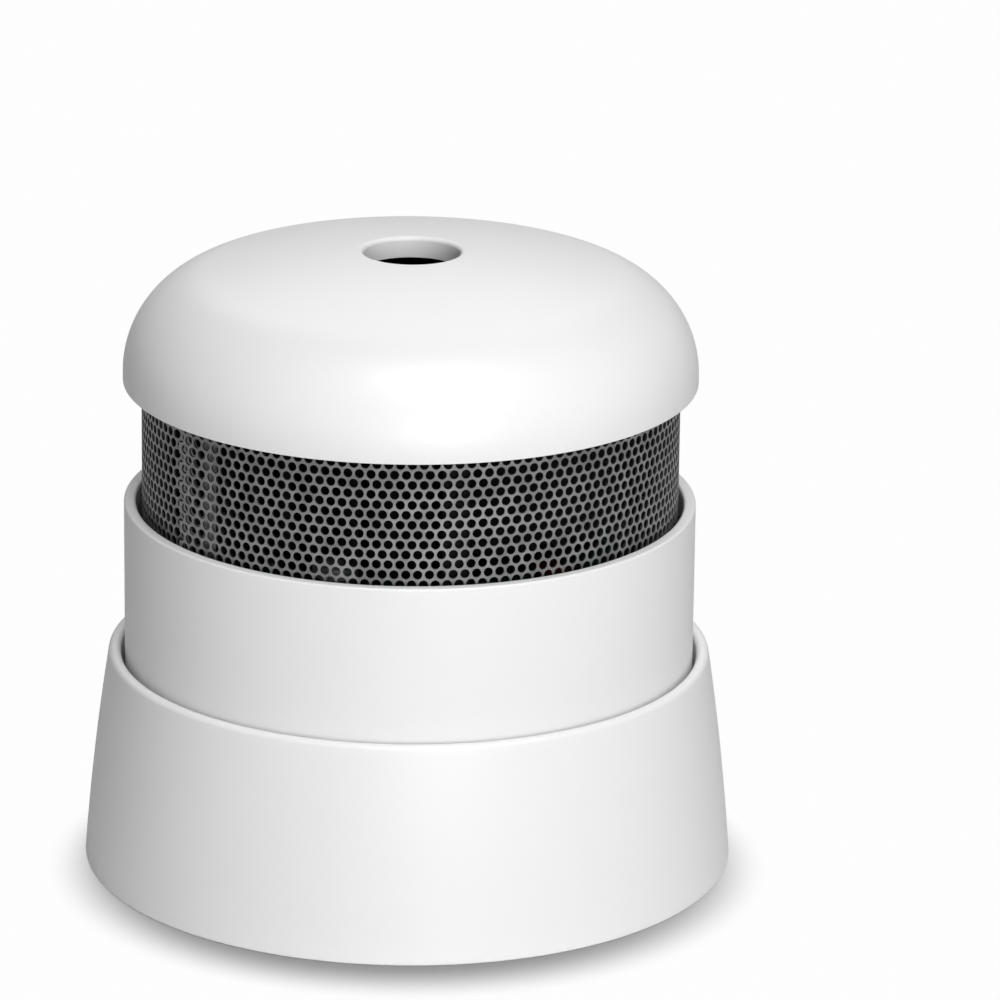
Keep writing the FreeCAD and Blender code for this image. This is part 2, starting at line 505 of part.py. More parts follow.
def outline(sketch, corners, arcs=None, closed=True):
    """An outline. Each corner is two names; arcs maps an edge to (radius, side)."""
    arcs = arcs or {}
    first = sketch.GeometryCount
    edges = len(corners) if closed else len(corners) - 1
    points = [Vector(number(x), number(y), 0) for x, y in corners]
    for k in range(edges):
        start, end = points[k], points[(k + 1) % len(corners)]
        if k in arcs:
            edge = arc_between(start, end, number(arcs[k][0]), arcs[k][1])
        else:
            edge = Part.LineSegment(start, end)
        sketch.addGeometry(edge, False)
    # An arc keeps its points in counter-clockwise order, so the joint is looked up.
    starts, ends = {}, {}
    for k in range(edges):
        flipped = k in arcs and (sketch.getPoint(first + k, 1) - points[k]).Length > 1e-4
        starts[k], ends[k] = (2, 1) if flipped else (1, 2)
    for k in range(edges if closed else edges - 1):
        after = (k + 1) % edges
        sketch.addConstraint(Sketcher.Constraint("Coincident", first + k, ends[k],
                                                 first + after, starts[after]))
    for k, (x, y) in enumerate(corners):
        corner = (first + k, starts[k]) if k < edges else (first + k - 1, ends[k - 1])
        hold(sketch, "DistanceX", (-1, 1, *corner), x)
        hold(sketch, "DistanceY", (-1, 1, *corner), y)
    for k, (radius, _side) in arcs.items():
        hold(sketch, "Radius", (first + k,), radius)
    return sketch


def circle(sketch, x, y, radius):
    """A circle at a named place."""
    index = sketch.GeometryCount
    middle = Vector(number(x), number(y), 0)
    sketch.addGeometry(Part.Circle(middle, Vector(0, 0, 1), number(radius)), False)
    hold(sketch, "DistanceX", (-1, 1, index, 3), x)
    hold(sketch, "DistanceY", (-1, 1, index, 3), y)
    hold(sketch, "Radius", (index,), radius)
    return sketch


def rectangle(sketch, left, right, low, high):
    """A rectangle between four named values."""
    return outline(sketch, [(left, low), (right, low), (right, high), (left, high)])


def revolve(body, sketch, axis="V_Axis"):
    """Turn a sketch right round an axis."""
    feature = body.newObject("PartDesign::Revolution", "turned")
    feature.Profile = sketch
    feature.ReferenceAxis = (sketch, [axis])
    feature.Angle = 360
    body.Tip = feature
    return feature


def pad(body, sketch, height, midplane=False):
    """Raise a sketch by a named height."""
    feature = body.newObject("PartDesign::Pad", "pad")
    feature.Profile = sketch
    bind(feature, "Length", height)
    feature.Midplane = midplane
    body.Tip = feature
    return feature


def pocket(body, sketch, depth, upward=True):
    """Cut a sketch by a named depth and see that it cut something."""
    before = body_volume(body)
    feature = body.newObject("PartDesign::Pocket", "cut")
    feature.Profile = sketch
    bind(feature, "Length", depth)
    feature.Reversed = upward
    body.Tip = feature
    doc.recompute()
    if feature.Shape.Volume >= before - 1e-6:
        raise RuntimeError("a cut in %s cuts nothing" % body.Label)
    return feature


def body_volume(body):
    """Volume of the body as it stands."""
    doc.recompute()
    return body.Shape.Volume


def repeat(body, features, count):
    """Repeat features evenly round the upright axis."""
    feature = body.newObject("PartDesign::PolarPattern", "ring")
    feature.Originals = features
    feature.Axis = ([item for item in body.Origin.OriginFeatures if item.Role == "Z_Axis"][0], [""])
    feature.Angle = 360
    feature.Occurrences = count
    body.Tip = feature
    doc.recompute()
    return feature


def round_rings(body, rings, radius):
    """Round the ring edges that lie at the named radii and levels."""
    doc.recompute()
    base = body.Tip
    names = []
    for index, edge in enumerate(base.Shape.Edges, start=1):
        curve = edge.Curve
        if not isinstance(curve, Part.Circle) or not edge.Closed:
            continue
        for ring, level in set(rings):
            near_ring = abs(curve.Radius - number(ring)) < 0.002
            near_level = abs(edge.CenterOfMass.z - number(level)) < 0.002
            if near_ring and near_level:
                names.append("Edge%d" % index)
    if len(names) != len(rings):
        raise RuntimeError("%s has %d of %d ring edges" % (body.Label, len(names), len(rings)))
    feature = body.newObject("PartDesign::Fillet", "round")
    feature.Base = (base, names)
    bind(feature, "Radius", radius)
    body.Tip = feature
    return feature


def turn_body(body, turn):
    """Turn a body that was drawn along X to its own direction."""
    body.Placement = FreeCAD.Placement(Vector(), FreeCAD.Rotation(Vector(0, 0, 1), number(turn)))
    body.setExpression("Placement.Rotation.Angle", path(turn) + " * 1 deg")


def ring_profile(body, inner, outer, low, high):
    """A plain turned ring of four corners."""
    return revolve(body, rectangle(sketch_on(body, "XZ_Plane"), inner, outer, low, high))


def make_mounting_base():
    """Dish with a bowed wall, screw slots in the floor and bayonet lugs inside."""
    body = new_body("mounting_base")
    profile = sketch_on(body, "XZ_Plane")
    outline(profile, [("0", "0"), ("base_radius", "0"), ("base_top_radius", "base_rim_top"),
                      ("base_bore", "base_rim_top"), ("base_bore", "base_floor"), ("0", "base_floor")],
            {1: ("base_side_round", 1)})
    revolve(body, profile)
    round_rings(body, [("base_radius", "0")], "base_foot_round")
    round_rings(body, [("base_top_radius", "base_rim_top"), ("base_bore", "base_rim_top")],
                "base_rim_round")
    slot = sketch_on(body, "XY_Plane")
    outline(slot, [("slot_near", "slot_low"), ("slot_far", "slot_low"), ("slot_outer_end", "0"),
                   ("slot_far", "slot_radius"), ("slot_near", "slot_radius"), ("slot_inner_end", "0")],
            {k: ("slot_radius", 1) for k in (1, 2, 4, 5)})
    repeat(body, [pocket(body, slot, "base_floor")], 2)
    lug = sketch_on(body, "XY_Plane", "base_lug_level", "lug_angle")
    outline(lug, [("base_lug_corner", "base_lug_low_side"), ("base_lug_root", "base_lug_low_side"),
                  ("base_lug_root", "base_lug_half"), ("base_lug_corner", "base_lug_half")],
            {3: ("base_lug_radius", -1)})
    lug_pad = pad(body, lug, "base_lug_height")
    stop = sketch_on(body, "XY_Plane", "cup_lug_level", "lug_angle")
    rectangle(stop, "base_lug_corner", "base_lug_root", "stop_far", "stop_near")
    stop_pad = pad(body, stop, "stop_height")
    repeat(body, [lug_pad, stop_pad], 3)
    return body


def make_housing_cup():
    """Cup with a stepped waist, bayonet lugs, screw bosses and a cradle for the cell."""
    body = new_body("housing_cup")
    profile = sketch_on(body, "XZ_Plane")
    outline(profile, [("0", "cup_level"), ("waist_radius", "cup_level"), ("waist_radius", "waist_top"),
                      ("cup_radius", "step_top"), ("cup_radius", "cup_rim_top"),
                      ("cup_bore", "cup_rim_top"), ("cup_bore", "step_top_inside"),
                      ("waist_bore", "step_low_inside"), ("waist_bore", "cup_floor_top"),
                      ("0", "cup_floor_top")])
    revolve(body, profile)
    round_rings(body, [("waist_radius", "cup_level")], "cup_foot_round")
    round_rings(body, [("cup_radius", "cup_rim_top"), ("cup_bore", "cup_rim_top")], "cup_rim_round")
    lug = sketch_on(body, "XY_Plane", "cup_lug_level", "lug_angle")
    outline(lug, [("cup_lug_root", "cup_lug_low_side"), ("cup_lug_corner", "cup_lug_low_side"),
                  ("cup_lug_corner", "cup_lug_half"), ("cup_lug_root", "cup_lug_half")],
            {1: ("cup_lug_radius", 1)})
    repeat(body, [pad(body, lug, "cup_lug_height")], 3)
    boss = circle(sketch_on(body, "XY_Plane", "cup_level", "boss_angle"), "boss_ring", "0", "boss_radius")
    boss_pad = pad(body, boss, "boss_height")
    repeat(body, [boss_pad], 2)
    bore = circle(sketch_on(body, "XY_Plane", "board_level", "boss_angle"), "boss_ring", "0", "boss_bore")
    repeat(body, [pocket(body, bore, "boss_depth", upward=False)], 2)
    rib = sketch_on(body, "YZ_Plane", "cradle_start")
    outline(rib, [("cradle_low_side", "cradle_root"), ("cradle_half", "cradle_root"),
                  ("cradle_half", "cradle_top"), ("cradle_inside", "cradle_top"),
                  ("0", "cradle_bottom"), ("cradle_inside_low", "cradle_top"),
                  ("cradle_low_side", "cradle_top")],
            {3: ("cradle_radius", -1), 4: ("cradle_radius", -1)})
    rib_pad = pad(body, rib, "cradle_rib")
    repeat(body, [rib_pad], 2)
    return body


def make_battery_cell():
    """Round can lying along X, with its raised end at +X."""
    body = new_body("battery_cell")
    sketch = sketch_on(body, "XZ_Plane")
    outline(sketch, [("cell_negative", "0"), ("cell_half", "0"), ("cell_half", "cell_nub_radius"),
                     ("cell_shoulder", "cell_nub_radius"), ("cell_shoulder", "cell_radius"),
                     ("cell_negative", "cell_radius")])
    revolve(body, sketch, "H_Axis")
    round_rings(body, [("cell_radius", "0"), ("cell_radius", "0")], "cell_edge_round")
    body.Placement = FreeCAD.Placement(Vector(0, 0, number("cell_axis")), FreeCAD.Rotation())
    body.setExpression("Placement.Base.z", "Places.cell_axis * 1 mm")
    return body


def make_contacts():
    """Bent strips: a plain angle at the raised end, a folded leaf at the other."""
    positive = new_body("positive_contact")
    sketch = sketch_on(positive, "XZ_Plane")
    outline(sketch, [("cell_half", "contact_low"), ("contact_outer", "contact_low"),
                     ("contact_outer", "board_level"), ("contact_foot_end", "board_level"),
                     ("contact_foot_end", "contact_foot_low"), ("cell_half", "contact_foot_low")])
    pad(positive, sketch, "contact_width", midplane=True)
    negative = new_body("negative_contact")
    sketch = sketch_on(negative, "XZ_Plane")
    outline(sketch, [("leaf_back", "contact_low"), ("leaf_root", "contact_low"),
                     ("cell_negative", "leaf_tip_low"), ("cell_negative", "leaf_tip_high"),
                     ("leaf_tip_back", "leaf_tip_high"), ("leaf_tip_back", "leaf_tip_low"),
                     ("leaf_back_inner", "leaf_fold_low"), ("leaf_back_inner", "contact_foot_low"),
                     ("leaf_foot_end", "contact_foot_low"), ("leaf_foot_end", "board_level"),
                     ("leaf_back", "board_level")])
    pad(negative, sketch, "contact_width", midplane=True)
    return [positive, negative]


def make_circuit_board():
    """Round board with two screw holes."""
    body = new_body("circuit_board")
    disc = circle(sketch_on(body, "XY_Plane", "board_level"), "0", "0", "board_radius")
    pad(body, disc, "board_thickness")
    hole = circle(sketch_on(body, "XY_Plane", "board_level", "boss_angle"), "boss_ring", "0", "board_hole")
    repeat(body, [pocket(body, hole, "board_thickness")], 2)
    return body


def make_board_screws():
    """Two pan-head screws: one turned on its own axis and repeated across the board."""
    body = new_body("board_screws")
    sketch = sketch_on(body, "XZ_Plane", shift="boss_ring")
    outline(sketch, [("0", "screw_end"), ("screw_radius", "screw_end"),
                     ("screw_radius", "chamber_floor_top"), ("screw_head_radius", "chamber_floor_top"),
                     ("screw_head_radius", "screw_head_side"), ("0", "screw_head_top")],
            {4: ("screw_dome", 1)})
    repeat(body, [revolve(body, sketch)], 2)
    turn_body(body, "boss_angle")
    return body


def make_chamber_base():
    """Chamber floor with folded labyrinth vanes, screw ears and two optic cradles."""
    body = new_body("chamber_base")
    floor = circle(sketch_on(body, "XY_Plane", "board_top"), "0", "0", "chamber_radius")
    pad(body, floor, "chamber_floor")
    ear = circle(sketch_on(body, "XY_Plane", "board_top", "boss_angle"), "boss_ring", "0", "ear_radius")
    repeat(body, [pad(body, ear, "chamber_floor")], 2)
    hole = circle(sketch_on(body, "XY_Plane", "board_top", "boss_angle"), "boss_ring", "0", "board_hole")
    repeat(body, [pocket(body, hole, "chamber_floor")], 2)
    for turn in ("led_angle", "detector_angle"):
        seat = sketch_on(body, "XY_Plane", "board_top", turn)
        pad(body, rectangle(seat, "optic_front", "cheek_end", "cheek_outside_low", "cheek_outside"),
            "seat_height")
        for low, high in (("cheek_outside_low", "cheek_inside_low"), ("cheek_inside", "cheek_outside")):
            cheek = sketch_on(body, "XY_Plane", "board_top", turn)
            pad(body, rectangle(cheek, "optic_front", "cheek_end", low, high), "cheek_height")
    vane = sketch_on(body, "XY_Plane", "vane_root")
    outline(vane, [("vane_outer", "vane_side"), ("vane_outer", "vane_back"),
                   ("vane_middle", "vane_fold_back"), ("vane_inner", "vane_back"),
                   ("vane_inner", "vane_side"), ("vane_middle", "vane_fold_side")])
    vane_pad = pad(body, vane, "vane_height")
    repeat(body, [vane_pad], int(number("vane_count")))
    return body


def make_chamber_cover():
    """Lid on the vanes, with a locating ring below and a spigot ring above."""
    body = new_body("chamber_cover")
    outline_sketch = sketch_on(body, "XZ_Plane")
    outline(outline_sketch, [("0", "chamber_top"), ("cover_ring_inner", "chamber_top"),
                             ("cover_ring_inner", "cover_ring_low"), ("cover_ring_outer", "cover_ring_low"),
                             ("cover_ring_outer", "chamber_top"), ("chamber_radius", "chamber_top"),
                             ("chamber_radius", "cover_top"), ("spigot_outer", "cover_top"),
                             ("spigot_outer", "cover_spigot_top"), ("spigot_inner", "cover_spigot_top"),
                             ("spigot_inner", "cover_top"), ("0", "cover_top")])
    revolve(body, outline_sketch)
    return body


def make_optics():
    """Two round-nosed optical parts with a flange, lying towards the chamber's middle."""
    made = []
    for label, turn in (("infrared_led", "led_angle"), ("photodiode", "detector_angle")):
        body = new_body(label)
        sketch = sketch_on(body, "XZ_Plane", lift="optic_level")
        outline(sketch, [("optic_place", "0"), ("optic_back", "0"), ("optic_back", "optic_flange"),
                         ("flange_front", "optic_flange"), ("flange_front", "optic_radius"),
                         ("optic_front", "optic_radius")], {5: ("optic_radius", 1)})
        revolve(body, sketch, "H_Axis")
        turn_body(body, turn)
        made.append(body)
    return made


def make_photodiode_shield():
    """Folded sheet over the photodiode, open below."""
    body = new_body("photodiode_shield")
    sketch = sketch_on(body, "YZ_Plane", "optic_front")
    outline(sketch, [("shield_outer_low", "optic_below"), ("shield_inner_low", "optic_below"),
                     ("shield_inner_low", "shield_top_inside"), ("optic_radius", "shield_top_inside"),
                     ("optic_radius", "optic_below"), ("shield_outer", "optic_below"),
                     ("shield_outer", "shield_top"), ("shield_outer_low", "shield_top")])
    pad(body, sketch, "shield_length")
    turn_body(body, "detector_angle")
    return body


def make_board_parts():
    """Parts soldered under the board beside the cell, and the indicator on top."""
    chip = new_body("microcontroller")
    pad(chip, rectangle(sketch_on(chip, "XY_Plane", "chip_low"), "chip_left", "chip_right",
                        "part_front", "chip_back"), "chip_height")
    coil = new_body("boost_coil")
    pad(coil, rectangle(sketch_on(coil, "XY_Plane", "coil_low"), "coil_left", "coil_right",
                        "part_front", "coil_back"), "coil_height")
    can = new_body("reservoir_capacitor")
    pad(can, circle(sketch_on(can, "XY_Plane", "can_low"), "can_x", "can_y", "can_radius"), "can_height")
    round_rings(can, [("can_radius", "can_low")], "can_round")
    chips = new_body("chip_resistors")
    first = rectangle(sketch_on(chips, "XY_Plane", "resistor_low"), "resistor_x", "resistor_right",
                      "resistor_front", "resistor_back")
    row = chips.newObject("PartDesign::LinearPattern", "row")
    row.Originals = [pad(chips, first, "resistor_height")]
    row.Direction = ([item for item in chips.Origin.OriginFeatures if item.Role == "X_Axis"][0], [""])
    row.Occurrences = 3
    bind(row, "Length", "resistor_row")
    chips.Tip = row
    lamp = new_body("indicator_led")
    pad(lamp, rectangle(sketch_on(lamp, "XY_Plane", "board_top"), "lamp_near", "lamp_far",
                        "lamp_low_side", "lamp_half"), "lamp_height")
    turn_body(lamp, "lamp_angle")
    return [chip, coil, can, chips, lamp]


def make_test_switch():
    """Square switch on the board's edge with a round well, and the plunger in it."""
    switch = new_body("test_switch")
    pad(switch, rectangle(sketch_on(switch, "XY_Plane", "board_top"), "switch_near", "switch_far",
                          "switch_low_side", "switch_half"), "switch_height")
    well = circle(sketch_on(switch, "XY_Plane", "switch_top"), "switch_ring", "0", "switch_bore")
    pocket(switch, well, "well_depth", upward=False)
    turn_body(switch, "clip_angle")
    plunger = new_body("switch_plunger")
    pad(plunger, circle(sketch_on(plunger, "XY_Plane", "plunger_low"), "switch_ring", "0",
                        "plunger_radius"), "plunger_height")
    turn_body(plunger, "clip_angle")
    return [switch, plunger]


def make_sounder():
    """Holder standing on the chamber cover, brass disc glued to its ledge, ceramic below."""
    holder = new_body("sounder_holder")
    sketch = sketch_on(holder, "XZ_Plane")
    outline(sketch, [("holder_bore", "cover_top"), ("chamber_radius", "cover_top"),
                     ("chamber_radius", "holder_level"), ("holder_port", "holder_level"),
                     ("holder_port", "holder_ceiling"), ("ledge_inner", "holder_ceiling"),
                     ("ledge_inner", "ledge_level"), ("holder_bore", "ledge_level")])
    revolve(holder, sketch)
    round_rings(holder, [("chamber_radius", "holder_level")], "holder_round")
    notch = rectangle(sketch_on(holder, "XY_Plane", "cover_top", "lead_angle"), "notch_start", "notch_end",
                      "notch_half_low", "notch_half")
    pocket(holder, notch, "notch_height")
    disc = new_body("sounder_disc")
    pad(disc, circle(sketch_on(disc, "XY_Plane", "disc_low"), "0", "0", "disc_radius"), "disc_thickness")
    ceramic = new_body("sounder_ceramic")
    pad(ceramic, circle(sketch_on(ceramic, "XY_Plane", "ceramic_low"), "0", "0", "ceramic_radius"),
        "ceramic_thickness")
    return [holder, disc, ceramic]


def make_sounder_leads():
    """Two insulated leads: down from the disc, out through the notch, down to the board."""
    made = []
    for label, joint, run_start, top, side, across in (
            ("sounder_lead_1", "brass_joint", "brass_run_start", "disc_low", "lead_side_low", "lead_side"),
            ("sounder_lead_2", "ceramic_joint", "ceramic_run_start", "ceramic_low", "lead_side",
             "lead_side_low")):
        body = new_body(label)
        route = sketch_on(body, "XZ_Plane", side)
        outline(route, [(joint, top), (joint, "lead_drop_end"), (run_start, "lead_level"),
                        ("lead_run_end", "lead_level"), ("lead_ring", "lead_fall"),
                        ("lead_ring", "board_top")],
                {1: ("lead_bend", 1), 3: ("lead_bend", -1)}, closed=False)
        section = circle(sketch_on(body, "XY_Plane", top), joint, across, "lead_radius")
        pipe = body.newObject("PartDesign::AdditivePipe", "lead")
        pipe.Profile = section
        pipe.Spine = route
        body.Tip = pipe
        turn_body(body, "lead_angle")
        made.append(body)
    return made


def make_dome_cap():
    """Domed cap: crown arc and shoulder arc, even wall, rebate for the mesh, three pins."""
    body = new_body("dome_cap")
    sketch = sketch_on(body, "XZ_Plane")
    outline(sketch, [("port_radius", "port_top"), ("blend_ring", "blend_level"),
                     ("cap_radius", "shoulder_level"), ("cap_radius", "cap_edge"),
                     ("rebate_radius", "cap_edge"), ("rebate_radius", "rebate_top"),
                     ("rebate_inner", "rebate_top"), ("blend_inner_ring", "blend_inner_level"),
                     ("port_radius", "port_low")],
            {0: ("crown_round", -1), 1: ("cap_shoulder", -1), 6: ("shoulder_inner_round", 1),
             7: ("crown_inner_round", 1)})
    revolve(body, sketch)
    round_rings(body, [("port_radius", "port_top")], "port_round")
    pin = circle(sketch_on(body, "XY_Plane", "pin_low", "pin_angle"), "pin_ring", "0", "pin_radius")
    repeat(body, [pad(body, pin, "pin_height")], 3)
    return body


def make_mesh_carrier():
    """Cage inside the mesh: two rings, six uprights, three clip legs and the press foot."""
    body = new_body("mesh_carrier")
    ring_profile(body, "cage_bore", "cage_radius", "mesh_low", "cage_ring_top")
    upright = sketch_on(body, "XY_Plane", "upright_root", "clip_angle")
    rectangle(upright, "upright_inside", "upright_outside", "upright_low_side", "upright_half")
    repeat(body, [pad(body, upright, "upright_height")], 6)
    ring_profile(body, "cage_top_inner", "cage_radius", "cage_top_level", "cage_top_top")
    leg = sketch_on(body, "XY_Plane", "clip_low", "clip_angle")
    rectangle(leg, "clip_inner", "clip_outside", "clip_low_side", "clip_half")
    leg_pad = pad(body, leg, "clip_height")
    hook = sketch_on(body, "XY_Plane", "clip_low", "clip_angle")
    rectangle(hook, "clip_hook_inner", "clip_outside", "clip_low_side", "clip_half")
    hook_pad = pad(body, hook, "clip_hook")
    repeat(body, [leg_pad, hook_pad], 3)
    foot = sketch_on(body, "XY_Plane", "foot_level", "clip_angle")
    rectangle(foot, "foot_inner", "upright_outside", "upright_low_side", "upright_half")
    pad(body, foot, "foot_height")
    hole = circle(sketch_on(body, "XY_Plane", "cage_top_level", "pin_angle"), "pin_ring", "0", "pin_hole")
    repeat(body, [pocket(body, hole, "cage_top_height")], 3)
    return body


def make_insect_mesh():
    """Perforated strip wrapped round the axis, its inner end jogged in under its outer end."""
    outer = number("mesh_radius")
    sheet = number("mesh_sheet")
    tucked = outer - sheet - number("mesh_tuck")
    low, height = number("mesh_low"), number("mesh_height")
    columns, rows = int(number("mesh_columns")), int(number("mesh_rows"))
    step = 180.0 / columns
    start, sweep = number("lap_angle"), number("lap_sweep_angle")

    def point(radius, degrees):
        angle = math.radians(degrees)
        return Vector(radius * math.cos(angle), radius * math.sin(angle), low)

    # The strip bends at each half pitch, so that every hole lies in a flat facet.
    turns = [start + step * k for k in range(2 * columns - 1)]
    ahead = [start + 360, start + 360 + sweep / 2, start + 360 + sweep]
    path_out = [point(outer, a) for a in turns]
    path_in = [point(outer - sheet, a) for a in turns]
    path_out += [point(tucked, a) for a in ahead]
    path_in += [point(tucked - sheet, a) for a in ahead]
    wire = Part.makePolygon(path_out + path_in[::-1] + [path_out[0]])
    strip = Part.Face(wire).extrude(Vector(0, 0, height))
    size = number("mesh_hole")
    tool_half = 5 * sheet
    margin = number("mesh_margin")
    row_pitch = (height - margin - number("mesh_top_margin")) / (rows - 1)
    tools = []
    for column in range(2 * columns):
        middle = start + step * (column + 0.5)
        for row in range(column % 2, rows, 2):
            level = low + margin + row * row_pitch
            corners = [Vector(outer - tool_half, size * math.sin(math.radians(60 * k)),
                              level + size * math.cos(math.radians(60 * k))) for k in range(7)]
            hole = Part.Face(Part.makePolygon(corners)).extrude(Vector(2 * tool_half, 0, 0))
            hole.rotate(Vector(), Vector(0, 0, 1), middle)
            tools.append(hole)
    node = doc.addObject("Part::Feature", "insect_mesh")
    node.Label = "insect_mesh"
    node.Shape = strip.cut(Part.makeCompound(tools))
    return node


def finished(node):
    """Check one node's shape before it is written."""
    shape = node.Shape
    if shape.isNull() or not shape.isValid() or not shape.Solids:
        raise RuntimeError("%s has no valid solid" % node.Label)
    print("%-22s solids %d  volume %9.2f  z %6.2f to %6.2f" % (
        node.Label, len(shape.Solids), shape.Volume, shape.BoundBox.ZMin, shape.BoundBox.ZMax))
    return shape


nodes = [make_mounting_base(), make_housing_cup(), make_battery_cell(), *make_contacts(),
         make_circuit_board(), make_board_screws(), make_chamber_base(), make_chamber_cover(),
         *make_optics(), make_photodiode_shield(), *make_board_parts(), *make_test_switch(),
         *make_sounder(), *make_sounder_leads(), make_dome_cap(), make_mesh_carrier(),
         make_insect_mesh()]
doc.recompute()
for item in doc.Objects:
    if "Invalid" in item.State or "Error" in item.State:
        raise RuntimeError("%s could not be built" % item.Label)
for node in nodes:
    finished(node).exportStep(os.path.join("parts", node.Label + ".step"))
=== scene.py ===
"""Finished look of a small round smoke alarm: moulded shells, mesh band, inner parts, studio."""

import logging
import math
from collections.abc import Callable, Iterable, Sequence
from dataclasses import dataclass, field
from enum import Enum

import bpy
import numpy as np
from mathutils import Matrix, Vector

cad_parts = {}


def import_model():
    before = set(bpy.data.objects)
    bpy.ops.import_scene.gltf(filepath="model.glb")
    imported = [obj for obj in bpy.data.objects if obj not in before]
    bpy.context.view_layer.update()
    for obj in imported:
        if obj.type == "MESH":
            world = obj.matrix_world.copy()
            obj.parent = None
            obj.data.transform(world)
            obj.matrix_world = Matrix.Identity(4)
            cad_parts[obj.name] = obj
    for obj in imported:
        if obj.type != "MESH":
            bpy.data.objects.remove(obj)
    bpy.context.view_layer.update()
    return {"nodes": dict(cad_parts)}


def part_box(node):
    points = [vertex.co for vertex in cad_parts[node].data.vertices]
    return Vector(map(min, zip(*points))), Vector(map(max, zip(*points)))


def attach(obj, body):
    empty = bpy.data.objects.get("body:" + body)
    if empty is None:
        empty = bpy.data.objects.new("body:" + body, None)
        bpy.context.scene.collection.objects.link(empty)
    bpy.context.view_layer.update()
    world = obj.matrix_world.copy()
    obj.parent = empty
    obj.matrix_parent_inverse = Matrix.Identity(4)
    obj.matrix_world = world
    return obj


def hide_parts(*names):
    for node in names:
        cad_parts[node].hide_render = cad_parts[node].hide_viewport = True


LOG = logging.getLogger("alarm")
MM = 0.001
TURN_STEPS = 288
SHARP_ANGLE = math.radians(38)
ON_AXIS = 1e-9
CELL_POINTS = 12
PAIR = 2
BAYONET_LUGS = 3
BAYONET_TURN = 20.0
ROOT = 0.3 * MM
MIX_FACTOR, MIX_LOW, MIX_HIGH, MIX_COLOUR = 0, 6, 7, 2


# Mesh building

def link(name: str, data: bpy.types.ID) -> bpy.types.Object:
    """A new object in the scene that shows the data."""
    made = bpy.data.objects.new(name, data)
    bpy.context.scene.collection.objects.link(made)
    return made


@dataclass
class Surface:
    """Points and faces of one closed form, before it becomes a Blender mesh."""

    points: np.ndarray
    faces: list[list[int]]

    def __add__(self, other: "Surface") -> "Surface":
        """Both forms side by side, as one."""
        shift = len(self.points)
        moved = [[index + shift for index in face] for face in other.faces]
        return Surface(np.concatenate([self.points, other.points]), self.faces + moved)

    def volume(self) -> float:
        """Signed volume: the sum of the tetrahedra between each fan triangle and the origin."""
        total = 0.0
        for corners in {len(face) for face in self.faces}:
            block = np.array([face for face in self.faces if len(face) == corners])
            first = self.points[block[:, 0]]
            for k in range(1, corners - 1):
                across = np.cross(self.points[block[:, k]], self.points[block[:, k + 1]])
                total += float(np.einsum("ij,ij->", first, across)) / 6
        return total

    def outward(self) -> "Surface":
        """The same form with its faces pointing outwards."""
        if self.volume() < 0:
            self.faces = [face[::-1] for face in self.faces]
        return self

    def to_object(self, name: str) -> bpy.types.Object:
        """Make a smooth-shaded object at the origin.

        Args:
            name: name of the object and of its mesh.

        Returns:
            The linked object; edges sharper than SHARP_ANGLE stay crisp.
        """
        mesh = bpy.data.meshes.new(name)
        mesh.from_pydata(self.points.tolist(), [], self.faces)
        mesh.validate()
        mesh.shade_smooth()
        mesh.set_sharp_from_angle(angle=SHARP_ANGLE)
        return link(name, mesh)


def compact(points: np.ndarray, faces: np.ndarray) -> Surface:
    """Drop points that no face uses and corners that a face repeats.

    Args:
        points: all points, one row each.
        faces: index array; a row may name a point twice where it closes in a pole.

    Returns:
        The surface with only the points in use.
    """
    used, places = np.unique(faces, return_inverse=True)
    rows = places.reshape(faces.shape).tolist()
    return Surface(points[used], [list(dict.fromkeys(row)) for row in rows])


def polar(radius: float | np.ndarray, angles: np.ndarray) -> np.ndarray:
    """Points (r cos a, r sin a), one row for each angle."""
    return np.stack([radius * np.cos(angles), radius * np.sin(angles)], axis=1)


def bow(start: Sequence[float], end: Sequence[float], radius: float, side: int,
        steps: int) -> np.ndarray:
    """Points of the short arc from start to end, both included.

    The centre lies on the chord's middle normal, at sqrt(radius^2 - half chord^2) from the chord.

    Args:
        start: first point, (radius, height).
        end: last point.
        radius: radius of the arc.
        side: +1 where the arc bulges to the right of the way, -1 to the left.
        steps: number of equal stretches.

    Returns:
        Array of steps + 1 points.
    """
    first, last = np.array(start, float), np.array(end, float)
    chord = last - first
    length = float(np.hypot(*chord))
    right = np.array([chord[1], -chord[0]]) / length
    centre = (first + last) / 2 - right * side * math.sqrt(radius ** 2 - length ** 2 / 4)
    turn = 2 * math.asin(length / (2 * radius)) * side
    begin = math.atan2(*(first - centre)[::-1])
    return centre + polar(radius, begin + np.linspace(0, turn, steps + 1))


def soften(line: np.ndarray, radius: float, *corners: Sequence[float], steps: int = 8) -> np.ndarray:
    """Replace corners of a closed line by tangent arcs.

    An arc touches both sides at radius / tan(half the corner's angle) from the corner.

    Args:
        line: closed line of (radius, height) points.
        radius: radius of the arcs.
        corners: places of the corners; the nearest points are taken.
        steps: number of stretches in an arc.

    Returns:
        The new closed line.
    """
    for corner in corners:
        at = int(np.argmin(np.hypot(*(line - np.array(corner)).T)))
        here = line[at]
        back = line[at - 1] - here
        ahead = line[(at + 1) % len(line)] - here
        back, ahead = back / np.hypot(*back), ahead / np.hypot(*ahead)
        reach = radius / math.tan(math.acos(float(back @ ahead)) / 2)
        side = 1 if float(back[0] * ahead[1] - back[1] * ahead[0]) < 0 else -1
        arc = bow(here + back * reach, here + ahead * reach, radius, side, steps)
        line = np.concatenate([line[:at], arc, line[at + 1:]])
    return line


